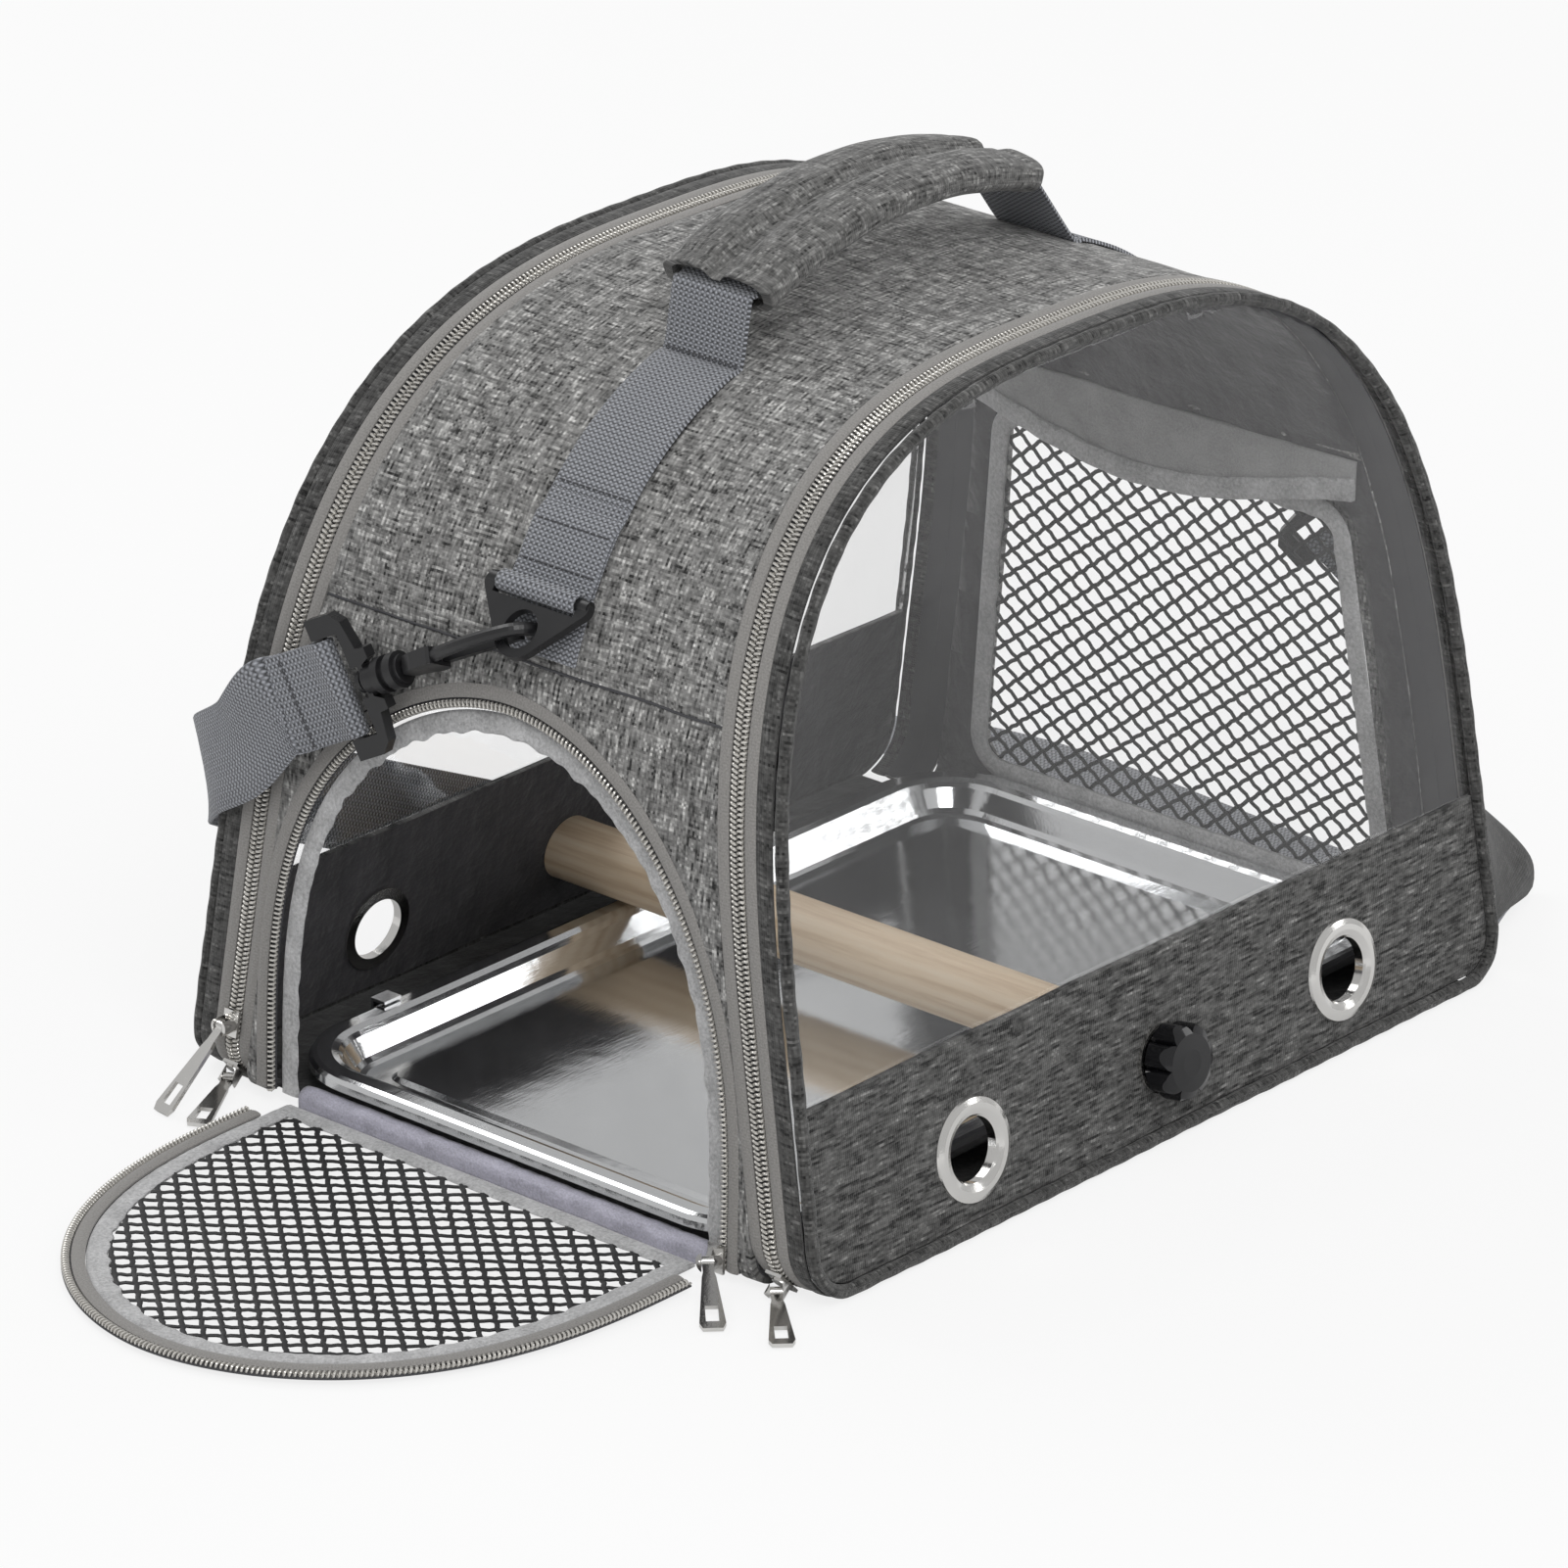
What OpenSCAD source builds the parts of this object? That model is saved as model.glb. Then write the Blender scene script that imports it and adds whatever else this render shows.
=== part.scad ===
// Soft-sided travel carrier for a bird: an arched fabric cabin between two
// zipped window panels that lean towards each other, a zipped mesh door, a
// mesh end wall, a steel tray, a wooden perch and a shoulder strap.
//
// Millimetres. +X runs along the width of the arch and away from the mesh
// door, -Y is the front, +Z is up. The origin is the centre of the base, on
// the surface that the carrier stands on.

/* [Cabin] */
// Width of the arch at the base, outside
cabin_w = 400; // [340:5:460]
// Depth at the base, from one window panel to the other
cabin_d = 310; // [280:5:360]
// Height of the roof
cabin_h = 306; // [280:2:340]
// Lean of each window panel towards the middle, in degrees
panel_lean = 8.7; // [4:0.1:10]
// Lean of the side walls inwards, in degrees
wall_lean = 1.86; // [0.5:0.1:3]
// Height at which the walls turn into the arch
spring_z = 90; // [70:1:110]
// Squareness of the arch, where 2 is an ellipse
arch_power = 2.9; // [2.3:0.1:3.4]
// Corner radius at the bottom of a window panel
panel_corner_r = 20; // [14:1:26]
// Corner radius at the bottom of the walls
wall_corner_r = 10; // [6:1:12]
// Thickness of the padded fabric of walls and roof
fabric_t = 2.5; // [2:0.1:4]
// Thickness of the lining
lining_t = 0.8; // [0.5:0.1:1.2]
// Thickness of the floor board
floor_t = 3; // [2:0.5:5]
// Height of the seam between the walls and the roof
seam_z = 204; // [195:1:215]

/* [Zips] */
// Width of the tape on the panel's side of the arch zip
panel_tape_w = 13.8; // [10:0.2:16]
// Width of the tape on the cabin's side of the arch zip
cabin_tape_w = 5.8; // [4:0.2:8]
// Thickness of zip tape
tape_t = 1; // [0.6:0.1:1.4]
// Width of one row of zip teeth
teeth_w = 2.6; // [2:0.1:3.2]
// Thickness of a row of zip teeth
teeth_t = 3; // [2.4:0.1:3.6]
// Gap between the two rows, where the slider's divider runs
teeth_gap = 1.2; // [1:0.1:1.6]
// How far the teeth stand out of the tape
teeth_proud = 0.5; // [0.3:0.1:0.8]
// Length of a slider along the zip
slider_len = 11; // [9:0.5:13]
// Length of a pull
pull_len = 40; // [30:1:46]

/* [Window panels] */
// Height of the fabric band, measured up the panel
band_h = 74; // [66:1:84]
// Thickness of the band
band_t = 2.5; // [2:0.1:3]
// Thickness of the clear film
film_t = 0.8; // [0.5:0.1:1.2]
// Diameter of the piping round a panel
piping_d = 5; // [4:0.5:6]
// Distance of the vent eyelets from the middle
eyelet_x = 107; // [90:1:120]
// Outer diameter of an eyelet
eyelet_od = 40; // [34:1:42]
// Bore of an eyelet
eyelet_id = 25; // [20:1:28]
// How far a window panel folds down, in degrees
panel_open = 95; // [60:1:95]

/* [Perch] */
// Diameter of the perch
perch_d = 26; // [20:1:27]
// Diameter of the perch screws
screw_d = 6; // [5:0.5:7]
// Bore of the metal inserts in the perch ends
insert_bore = 9; // [8.6:0.2:10]
// Outer diameter of the inserts
insert_d = 14; // [12:0.5:16]
// Depth of the inserts
insert_len = 9; // [7:0.5:12]
// Diameter of a knob across its lobes
knob_d = 30; // [26:1:34]
// Thickness of a knob
knob_t = 13; // [10:0.5:16]
// Number of lobes on a knob
knob_lobes = 7; // [5:1:9]

/* [Mesh door] */
// Half width of the zipped door opening at the base
door_half_w = 112; // [100:1:114]
// Height of the zipped door opening
door_h = 184; // [170:1:188]
// Sideways place of the door's middle
door_y = 1; // [-3:1:2]
// Height of the door's hinge line
hinge_z = 2.2; // [1.8:0.1:3]
// Width of the fleece binding
binding_w = 9; // [6:0.5:11]
// Thickness of the fleece binding
binding_t = 2.2; // [1.6:0.1:3]
// Spacing of the mesh strands
mesh_pitch = 11; // [10:0.5:16]
// Width of a mesh strand
strand_w = 1.6; // [1.2:0.1:2.4]
// Thickness of the mesh
mesh_t = 1.2; // [0.8:0.1:1.6]

/* [Tray] */
// Length of the tray
tray_l = 386; // [340:1:388]
// Width of the tray
tray_w = 246; // [220:1:250]
// Height of the tray over the floor board
tray_h = 13; // [10:0.5:13.5]
// Corner radius of the tray's rim
tray_r = 38; // [37:1:44]
// Width of the tray's rolled rim
rim_w = 12; // [8:0.5:12.5]
// Metal thickness of the tray
tray_t = 0.8; // [0.6:0.1:1.2]

/* [Handle and strap] */
// Place of the handle webbing in depth
handle_y = -8; // [-12:1:12]
// Width of the webbing
webbing_w = 38; // [34:1:42]
// Thickness of the webbing
webbing_t = 1.6; // [1.2:0.1:2]
// Length of the padded grip to the left of its crown
grip_half = 85; // [80:1:90]
// Length of the padded grip to the right of its crown
grip_end = 66; // [60:1:74]
// Height of the grip's middle line over the roof at its crown
grip_rise = 34.4; // [32:0.2:40]
// Drop from the crown of the grip's middle line to its left end
grip_drop = 18; // [15:1:21]
// Thickness of the grip
grip_t = 16; // [14:0.5:18]
// Width of the strap loops
loop_w = 50; // [46:1:54]
// Thickness of the strap loops
loop_t = 3.6; // [3:0.1:4.5]
// Wire diameter of the snap hooks
hook_d = 5.2; // [4:0.1:5.6]

/* [Hidden] */

// ---- the arch -------------------------------------------------------------

// Steps on each side of the arch
arch_steps = 22;

// Narrowing of the arch at height z
function taper(z) = 1 - z * tan(wall_lean) / (cabin_w / 2);

// A point on the right half of the arch, t from 0 at the wall to 90 at the crown
function arch_point(t) =
    let (z = spring_z + (cabin_h - spring_z) * pow(sin(t), 2 / arch_power))
    [cabin_w / 2 * pow(cos(t), 2 / arch_power) * taper(z), z];

// The right half of the outline from the middle of the base to the crown
function right_half(r) =
    concat([for (a = [-90 : 15 : 0]) [cabin_w / 2 * taper(r) - r + r * cos(a), r + r * sin(a)]],
           [for (k = [0 : arch_steps]) arch_point(90 * k / arch_steps)]);

// Joins a right half to its mirror image
function both_halves(half) =
    let (n = len(half))
    concat(half, [for (k = [n - 2 : -1 : 0]) [-half[k].x, half[k].y]]);

// Length up the leaning panel over height
up_panel = 1 / cos(panel_lean);

// The cabin's section, square to its depth
module cabin_shape(inset = 0) {
    offset(delta = -inset) polygon(both_halves(right_half(wall_corner_r)));
}

// A window panel's outline in its own leaning plane
module panel_shape(inset = 0) {
    offset(delta = -inset)
        polygon([for (p = both_halves(right_half(panel_corner_r))) [p.x, p.y * up_panel]]);
}

// Places a child drawn flat, x across and y up, on the front panel's plane.
// The child's +z points out of the cabin.
module on_front() {
    translate([0, -cabin_d / 2, 0]) rotate([90 - panel_lean, 0, 0]) children();
}

module on_rear() {
    mirror([0, 1, 0]) on_front() children();
}

// Places a child on the outside of the wall with the mesh door: x towards the
// front, y up the wall, +z out of the cabin
module on_door_wall() {
    translate([-cabin_w / 2, 0, 0]) rotate([90 - wall_lean, 0, -90]) children();
}

module on_far_wall() {
    mirror([1, 0, 0]) on_door_wall() children();
}

// Depth over which each rim is made up of zip tape and teeth
panel_teeth_n = panel_tape_w;
gap_n = panel_teeth_n + teeth_w;
cabin_teeth_n = gap_n + teeth_gap;
cabin_tape_n = cabin_teeth_n + teeth_w;
rim_n = cabin_tape_n + cabin_tape_w;

// Half depth of the cabin at height z and depth n behind the panels' faces
function half_depth(n, z) = cabin_d / 2 - n * up_panel - z * tan(panel_lean);

// The space between the rims
below = 5;
above = cabin_h + 60;
module between_rims(n = rim_n) {
    rotate([90, 0, 90]) linear_extrude(2 * cabin_w, center = true)
        polygon([[-half_depth(n, -below), -below], [half_depth(n, -below), -below],
                 [half_depth(n, above), above], [-half_depth(n, above), above]]);
}

// A band of the cabin's skin between two insets
module skin(from, to) {
    intersection() {
        rotate([90, 0, 0]) linear_extrude(cabin_d, center = true) difference() {
            cabin_shape(from);
            cabin_shape(to);
        }
        between_rims();
    }
}

// ---- outlines on the end walls ----------------------------------------------

door_low = 24;
door_power_y = 1.9;
door_power_z = 2.6;
door_steps = 30;
module door_shape(grow = 0) {
    offset(delta = grow)
        translate([-door_y, 0])
            polygon(concat([[door_half_w, -20]],
                           [for (k = [0 : door_steps])
                               let (t = 180 * k / door_steps)
                               [door_half_w * sign(cos(t)) * pow(abs(cos(t)), 2 / door_power_y),
                                door_low + (door_h - door_low) * pow(sin(t), 2 / door_power_z)]],
                           [[-door_half_w, -20]]));
}

// A ring that follows the door, open at the bottom
zip_end_y = 3;
module door_ring(outer, inner, foot = zip_end_y) {
    difference() {
        door_shape(outer);
        door_shape(inner);
        translate([-cabin_w, -cabin_w + foot]) square([2 * cabin_w, cabin_w]);
    }
}

window_foot = 18;
window_head = 176;
window_half_foot = 104;
window_half_head = 84;
window_r = 12;
module far_window_shape(grow = 0) {
    offset(r = window_r + grow) offset(delta = -window_r)
        polygon([[-window_half_foot, window_foot], [window_half_foot, window_foot],
                 [window_half_head, window_head], [-window_half_head, window_head]]);
}

// ---- cabin ------------------------------------------------------------------

floor_half_w = cabin_w / 2 - wall_corner_r - 2;
floor_rim_half_w = cabin_w / 2 - panel_corner_r - 2;
floor_edge_n = 1;

module floor_panel() {
    color("#3f3f42") {
        intersection() {
            translate([-floor_half_w, -cabin_d / 2, 0]) cube([2 * floor_half_w, cabin_d, floor_t]);
            between_rims();
        }
        intersection() {
            translate([-floor_rim_half_w, -cabin_d / 2, 0])
                cube([2 * floor_rim_half_w, cabin_d, floor_t]);
            between_rims(floor_edge_n);
        }
    }
}

module side_wall() {
    intersection() {
        skin(0, fabric_t);
        difference() {
            translate([-cabin_w / 2 - 1, -cabin_d / 2, 0])
                cube([cabin_w / 2, cabin_d, seam_z]);
            translate([-floor_half_w, -cabin_d, -1]) cube([cabin_w, 2 * cabin_d, floor_t + 3]);
        }
    }
}

door_zip_w = teeth_gap / 2 + teeth_w;
door_tape_w = 5.8;
door_cut = door_zip_w + door_tape_w;

module door_side_wall() {
    color("#7d7d7b") difference() {
        side_wall();
        on_door_wall() translate([0, 0, -20]) linear_extrude(40) door_shape(door_cut);
    }
}

module far_side_wall() {
    color("#7d7d7b") difference() {
        mirror([1, 0, 0]) side_wall();
        on_far_wall() translate([0, 0, -20]) linear_extrude(40) far_window_shape();
    }
}

module roof_panel() {
    color("#858583") intersection() {
        skin(0, fabric_t);
        translate([-cabin_w, -cabin_d, seam_z]) cube([2 * cabin_w, 2 * cabin_d, cabin_h]);
    }
}

mesh_lap = 5;
module lining() {
    color("#3b3a40") difference() {
        skin(fabric_t, fabric_t + lining_t);
        translate([-cabin_w, -cabin_d, -1]) cube([2 * cabin_w, 2 * cabin_d, floor_t + 1]);
        translate([-floor_half_w, -cabin_d, -1]) cube([2 * floor_half_w, 2 * cabin_d, floor_t + 3]);
        on_door_wall() translate([0, 0, -20]) linear_extrude(40) door_shape(plate_half + 0.6);
        on_far_wall() translate([0, 0, -20]) linear_extrude(40) far_window_shape(mesh_lap + 1);
    }
}

// ---- arch zips ----------------------------------------------------------------

// The front rim between depths n0 and n1
module front_slab(n0, n1) {
    rotate([90, 0, 90]) linear_extrude(2 * cabin_w, center = true)
        polygon([[-half_depth(n0, -below), -below], [-half_depth(n1, -below), -below],
                 [-half_depth(n1, above), above], [-half_depth(n0, above), above]]);
}

// A drawing of the cabin's section drawn out over its depth
module along_depth() {
    rotate([90, 0, 0]) linear_extrude(cabin_d + 20, center = true) children();
}

// A ring of the arch in the front rim, open along the bottom
rim_open_half = cabin_w / 2 - panel_corner_r + 2;
zip_foot = 0.4;
module arch_ring(n0, n1, outer, inner) {
    intersection() {
        along_depth() difference() {
            rim_shape(outer);
            rim_shape(inner);
            translate([-rim_open_half, -below]) square([2 * rim_open_half, below * 3]);
            translate([-cabin_w, zip_foot - 20]) square([2 * cabin_w, 20]);
        }
        front_slab(n0, n1);
    }
}

// The section of the rims
module rim_shape(inset = 0) {
    offset(delta = -inset) polygon(both_halves(right_half(panel_corner_r)));
}

tape_start_n = 1.2;
module panel_zip() {
    difference() {
        union() {
            arch_ring(tape_start_n, panel_teeth_n, 0, tape_t);
            arch_ring(panel_teeth_n, gap_n, -teeth_proud, teeth_t - teeth_proud);
        }
        low_slider_room();
    }
}

// The panel's teeth end above the low slider, which stays on the cabin when the panel opens
module low_slider_room() {
    translate([-cabin_w / 2 - 5, -half_depth(mid_n, 0) - plate_half - 0.9, -1])
        cube([30, 2 * plate_half + 2, low_slider_top + 1]);
}

module cabin_zip() {
    arch_ring(cabin_teeth_n, cabin_tape_n, -teeth_proud, teeth_t - teeth_proud);
    arch_ring(cabin_tape_n, rim_n, 0, tape_t);
}

module to_rear() {
    mirror([0, 1, 0]) children();
}

module front_cabin_zip() color("#8c8781") cabin_zip();
module rear_cabin_zip() color("#8c8781") to_rear() cabin_zip();
module front_panel_zip() color("#8c8781") panel_zip();
module rear_panel_zip() color("#8c8781") to_rear() panel_zip();

// ---- window panels --------------------------------------------------------------

// Height of the eyelets and screws up the panel: the perch clears the tray
perch_gap = 1;
perch_n = 5;
eyelet_s = (floor_t + tray_h + perch_gap + perch_d / 2 + perch_n * sin(panel_lean)) * up_panel;

piping_n = -piping_d / 2 + 0.5;
panel_gap = 0.2;
panel_inset = piping_d + panel_gap;
band_front_n = -1;
band_back_n = band_front_n + band_t;
film_front_n = -0.2;

// A tube along a closed path in the xy plane
module tube_loop(path, r, sides) {
    n = len(path);
    ring = [for (k = [0 : n - 1])
        let (a = path[(k + n - 1) % n], b = path[(k + 1) % n], d = (b - a) / norm(b - a),
             m = [d.y, -d.x])
        for (j = [0 : sides - 1])
            let (q = 360 * j / sides)
            [path[k].x + r * cos(q) * m.x, path[k].y + r * cos(q) * m.y, r * sin(q)]];
    polyhedron(ring, [for (k = [0 : n - 1]) for (j = [0 : sides - 1]) for (f = [0, 1])
        let (k2 = (k + 1) % n, j2 = (j + 1) % sides)
        f == 0 ? [k * sides + j, k * sides + j2, k2 * sides + j2]
               : [k * sides + j, k2 * sides + j2, k2 * sides + j]], convexity = 6);
}

// The right half of the panel's outline, moved in by the piping's radius
function inset_half(d) =
    let (p = [for (q = right_half(panel_corner_r)) [q.x, q.y * up_panel]], n = len(p))
    [for (k = [0 : n - 1])
        let (a = k == 0 ? [-p[1].x, p[1].y] : p[k - 1],
             b = k == n - 1 ? [-p[n - 2].x, p[n - 2].y] : p[k + 1],
             t = k == 0 ? [1, 0] : (b - a) / norm(b - a))
        p[k] + d * [-t.y, t.x]];

module piping() {
    translate([0, 0, -piping_n])
        tube_loop([for (p = both_halves(inset_half(piping_d / 2))) p], piping_d / 2, 8);
}

module front_piping() color("#6b6b69") on_front() piping();
module rear_piping() color("#6b6b69") on_rear() piping();

barrel_r = eyelet_id / 2 + 0.8;
eyelet_seat = 0.15;
module at_eyelets() {
    for (x = [-eyelet_x, eyelet_x]) translate([x, eyelet_s, 0]) children();
}

module band() {
    translate([0, 0, -band_back_n]) linear_extrude(band_t) intersection() {
        panel_shape(panel_inset);
        translate([-cabin_w, 0]) square([2 * cabin_w, band_h]);
    }
}

module pierced_band() {
    difference() {
        band();
        at_eyelets() cylinder(h = 20, r = barrel_r + eyelet_seat, center = true, $fn = 64);
        translate([0, eyelet_s, 0]) cylinder(h = 20, d = screw_d + 2.4, center = true, $fn = 48);
    }
}

module front_band() color("#4c4b4a") on_front() pierced_band();
module rear_band() color("#4c4b4a") on_rear() pierced_band();

module window_film() {
    translate([0, 0, -film_front_n - film_t]) linear_extrude(film_t) intersection() {
        panel_shape(panel_inset);
        translate([-cabin_w, band_h + panel_gap]) square([2 * cabin_w, cabin_h * 2]);
    }
}

module front_window() color([0.85, 0.88, 0.9, 0.35]) on_front() window_film();
module rear_window() color([0.85, 0.88, 0.9, 0.35]) on_rear() window_film();

// A rolled metal eyelet: its flange outside, its barrel and its back washer
flange_t = 1.6;
back_r = eyelet_od / 2 - 3;
module eyelet() {
    front = -band_front_n + eyelet_seat;
    back = -band_back_n - eyelet_seat;
    rotate_extrude($fn = 72) polygon([
        [eyelet_id / 2, back - 1], [back_r, back - 1], [back_r, back], [barrel_r, back],
        [barrel_r, front], [eyelet_od / 2, front], [eyelet_od / 2 - 0.4, front + 0.8],
        [eyelet_od / 2 - 2.4, front + flange_t], [eyelet_id / 2 + 3, front + flange_t],
        [eyelet_id / 2 + 0.8, front + 0.7], [eyelet_id / 2, front]]);
}

module front_eyelets() color("#c9cacc") on_front() at_eyelets() eyelet();
module rear_eyelets() color("#c9cacc") on_rear() at_eyelets() eyelet();

// ---- perch ------------------------------------------------------------------------

washer_t = 1.6;
washer_d = 27;
knob_gap = 0.4;
washer_z = -band_front_n + 0.1;
knob_z = washer_z + washer_t + knob_gap;
screw_grip = 4;
perch_end_gap = 0.3;
perch_end_n = band_back_n + perch_end_gap;

module washer() {
    translate([0, eyelet_s, washer_z]) difference() {
        cylinder(h = washer_t, d = washer_d, $fn = 64);
        translate([0, 0, -1]) cylinder(h = washer_t + 2, d = screw_d + 1.6, $fn = 48);
    }
}

module front_washer() color("#d8d8d6") on_front() washer();
module rear_washer() color("#d8d8d6") on_rear() washer();

// A lobed knob with a crowned face and a blind bore for its screw
knob_bore_depth = 8;
module knob() {
    lobe_r = knob_d * 0.16;
    translate([0, eyelet_s, knob_z]) difference() {
        intersection() {
            linear_extrude(knob_t) union() {
                circle(d = knob_d - 2.6 * lobe_r, $fn = 60);
                for (k = [0 : knob_lobes - 1])
                    rotate(360 * k / knob_lobes)
                        translate([knob_d / 2 - lobe_r, 0]) circle(r = lobe_r, $fn = 32);
            }
            rotate_extrude($fn = 72) polygon([
                [0, 0], [knob_d / 2 - 3, 0], [knob_d / 2, 2.5], [knob_d / 2, knob_t - 4],
                [knob_d / 2 - 1.2, knob_t - 1.8], [knob_d / 2 - 4, knob_t - 0.5], [5, knob_t],
                [0, knob_t]]);
        }
        translate([0, 0, -1]) cylinder(h = knob_bore_depth + 1, d = screw_d + 0.1, $fn = 48);
    }
}

module front_knob() color("#161616") on_front() knob();
module rear_knob() color("#161616") on_rear() knob();

module perch_screw() {
    tip = -perch_end_n - screw_grip;
    translate([0, eyelet_s, tip]) {
        cylinder(h = 1, d1 = screw_d - 1.4, d2 = screw_d, $fn = 48);
        translate([0, 0, 1]) cylinder(h = knob_z + knob_bore_depth - 0.4 - tip - 1, d = screw_d, $fn = 48);
    }
}

module front_screw() color("#b9babc") on_front() perch_screw();
module rear_screw() color("#b9babc") on_rear() perch_screw();

perch_z = eyelet_s * cos(panel_lean) - perch_n * sin(panel_lean);
insert_seat = 0.05;
module perch() {
    color("#cfa77c") difference() {
        intersection() {
            translate([0, 0, perch_z]) rotate([90, 0, 0])
                cylinder(h = cabin_d, d = perch_d, center = true, $fn = 96);
            between_rims(perch_end_n);
        }
        for (side = [0, 1]) mirror([0, side, 0]) on_front()
            translate([0, eyelet_s, -perch_end_n - insert_len])
                cylinder(h = insert_len + 5, d = insert_d + 2 * insert_seat, $fn = 64);
    }
}

module perch_inserts() {
    color("#b58a3c") for (side = [0, 1]) mirror([0, side, 0]) on_front()
        translate([0, eyelet_s, -perch_end_n - insert_len]) difference() {
            cylinder(h = insert_len - 0.2, d = insert_d, $fn = 64);
            translate([0, 0, 1]) cylinder(h = insert_len + 5, d = insert_bore, $fn = 48);
        }
}

// ---- tray -------------------------------------------------------------------------

// Middle line of the tray's section, from the hem of the rim to the raised base
function tray_line(h, w) = [
    [0.4, h - 5], [0.4, h - 2.2], [1.5, h - 0.9], [3.2, h - 0.4], [w - 3.5, h - 0.4],
    [w - 1, h - 1.4], [w + 0.4, h - 3], [w + 4.6, 3], [w + 6.4, 1.1], [w + 9, 0.4],
    [w + 19, 0.4], [w + 21, 1.9], [w + 24, 1.9]];

// A strip of thickness t about an open line
function strip(line, t) =
    let (n = len(line),
         m = [for (k = [0 : n - 1])
             let (a = line[max(k - 1, 0)], b = line[min(k + 1, n - 1)], d = (b - a) / norm(b - a))
             [-d.y, d.x]])
    concat([for (k = [0 : n - 1]) line[k] + t / 2 * m[k]],
           [for (k = [n - 1 : -1 : 0]) line[k] - t / 2 * m[k]]);

tray_floor_in = rim_w + 24;
module tray_section() {
    polygon(strip(tray_line(tray_h, rim_w), tray_t));
}

module tray() {
    color("#c4c7ca") translate([0, 0, floor_t]) {
        for (sx = [0, 1]) for (sy = [0, 1]) mirror([sx, 0, 0]) mirror([0, sy, 0])
            translate([tray_l / 2 - tray_r, tray_w / 2 - tray_r, 0])
                rotate_extrude(angle = 90, $fn = 96)
                    translate([tray_r, 0]) mirror([1, 0, 0]) tray_section();
        for (sx = [0, 1]) mirror([sx, 0, 0])
            translate([tray_l / 2, tray_w / 2 - tray_r, 0]) rotate([90, 0, 0])
                linear_extrude(tray_w - 2 * tray_r) mirror([1, 0, 0]) tray_section();
        for (sy = [0, 1]) mirror([0, sy, 0])
            translate([-tray_l / 2 + tray_r, tray_w / 2, 0]) rotate([90, 0, 90])
                linear_extrude(tray_l - 2 * tray_r) mirror([1, 0, 0]) tray_section();
        translate([-tray_l / 2 + tray_floor_in, -tray_w / 2 + tray_floor_in, 1.9 - tray_t / 2])
            cube([tray_l - 2 * tray_floor_in, tray_w - 2 * tray_floor_in, tray_t]);
    }
}

clip_x = -130;
clip_w = 9;
clip_t = 1.2;
module tray_clip() {
    back = tray_w / 2 + 1;
    top = floor_t + tray_h + 1.8;
    color("#9a9a98") translate([clip_x - clip_w / 2, 0, 0]) {
        translate([0, back, floor_t]) cube([clip_w, clip_t, top - floor_t]);
        translate([0, back - 6, top - clip_t]) cube([clip_w, 6 + clip_t, clip_t]);
    }
}

// ---- mesh door ---------------------------------------------------------------------

// The hinge line lies in the middle of the teeth's thickness
hinge_u = teeth_t / 2 - teeth_proud;
hinge_s = (hinge_z + hinge_u * sin(wall_lean)) / cos(wall_lean);
hinge_x = -cabin_w / 2 + hinge_s * sin(wall_lean) + hinge_u * cos(wall_lean);

// Lays a child that is drawn as on the wall down on the ground, about the hinge
module on_open_door() {
    translate([hinge_x, 0, hinge_z]) rotate([180, 0, -90]) translate([0, -hinge_s, hinge_u])
        children();
}

// A layer of the door, or of its frame, between two depths under the surface
module layer(u0, u1) {
    translate([0, 0, -u1]) linear_extrude(u1 - u0) children();
}

// The cabin's section with its walls carried on straight down
module wall_shape(inset) {
    offset(delta = -inset) polygon(both_halves(
        concat([[cabin_w / 2 * taper(-40), -40]],
               [for (k = [0 : arch_steps]) arch_point(90 * k / arch_steps)])));
}

// A layer of the wall between two depths, which bends as the wall does
module wall_layer(u0, u1) {
    intersection() {
        along_depth() difference() {
            wall_shape(u0);
            wall_shape(u1);
        }
        on_door_wall() translate([0, 0, -60]) linear_extrude(80) children();
        between_rims(rim_n + 0.4);
    }
}

// The door's parts start this far up from its hinge edge
door_foot = hinge_s + 14;
hem_start = hinge_s + 1.6;

module door_wall_zip() {
    color("#8c8781") {
        wall_layer(-teeth_proud, teeth_t - teeth_proud) door_ring(door_zip_w, teeth_gap / 2);
        wall_layer(0.4, 0.4 + tape_t) door_ring(door_cut, door_zip_w);
    }
}

module door_zip() {
    color("#8c8781") on_open_door() {
        layer(-teeth_proud, teeth_t - teeth_proud) door_ring(-teeth_gap / 2, -door_zip_w, door_foot);
        layer(0.4, 0.4 + tape_t) door_ring(-door_zip_w, -door_cut, door_foot);
    }
}

wall_binding_u = 3;
slider_run = 8;
module door_wall_binding() {
    color("#a9a9a8") wall_layer(wall_binding_u, wall_binding_u + binding_t)
        difference() {
            door_ring(teeth_w - 0.2, -binding_w);
            translate([door_slider_x - plate_half - 0.5, 0])
                square([2 * plate_half + 1, zip_end_y + slider_len + slider_run + 1]);
        }
}

module door_binding() {
    color("#a9a9a8") on_open_door() layer(0.4, 0.4 + binding_t) difference() {
        door_shape(-door_cut);
        difference() {
            door_shape(-door_cut - binding_w);
            translate([-cabin_w, -cabin_w + hem_start + binding_w]) square([2 * cabin_w, cabin_w]);
        }
        translate([-cabin_w, -cabin_w + hem_start]) square([2 * cabin_w, cabin_w]);
    }
}

// Crossed strands that fill a square of half width r
module strands(r) {
    for (turn = [45, -45]) rotate(turn)
        for (k = [-floor(r / mesh_pitch) : floor(r / mesh_pitch)])
            translate([k * mesh_pitch - strand_w / 2, -r]) square([strand_w, 2 * r]);
}

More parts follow.
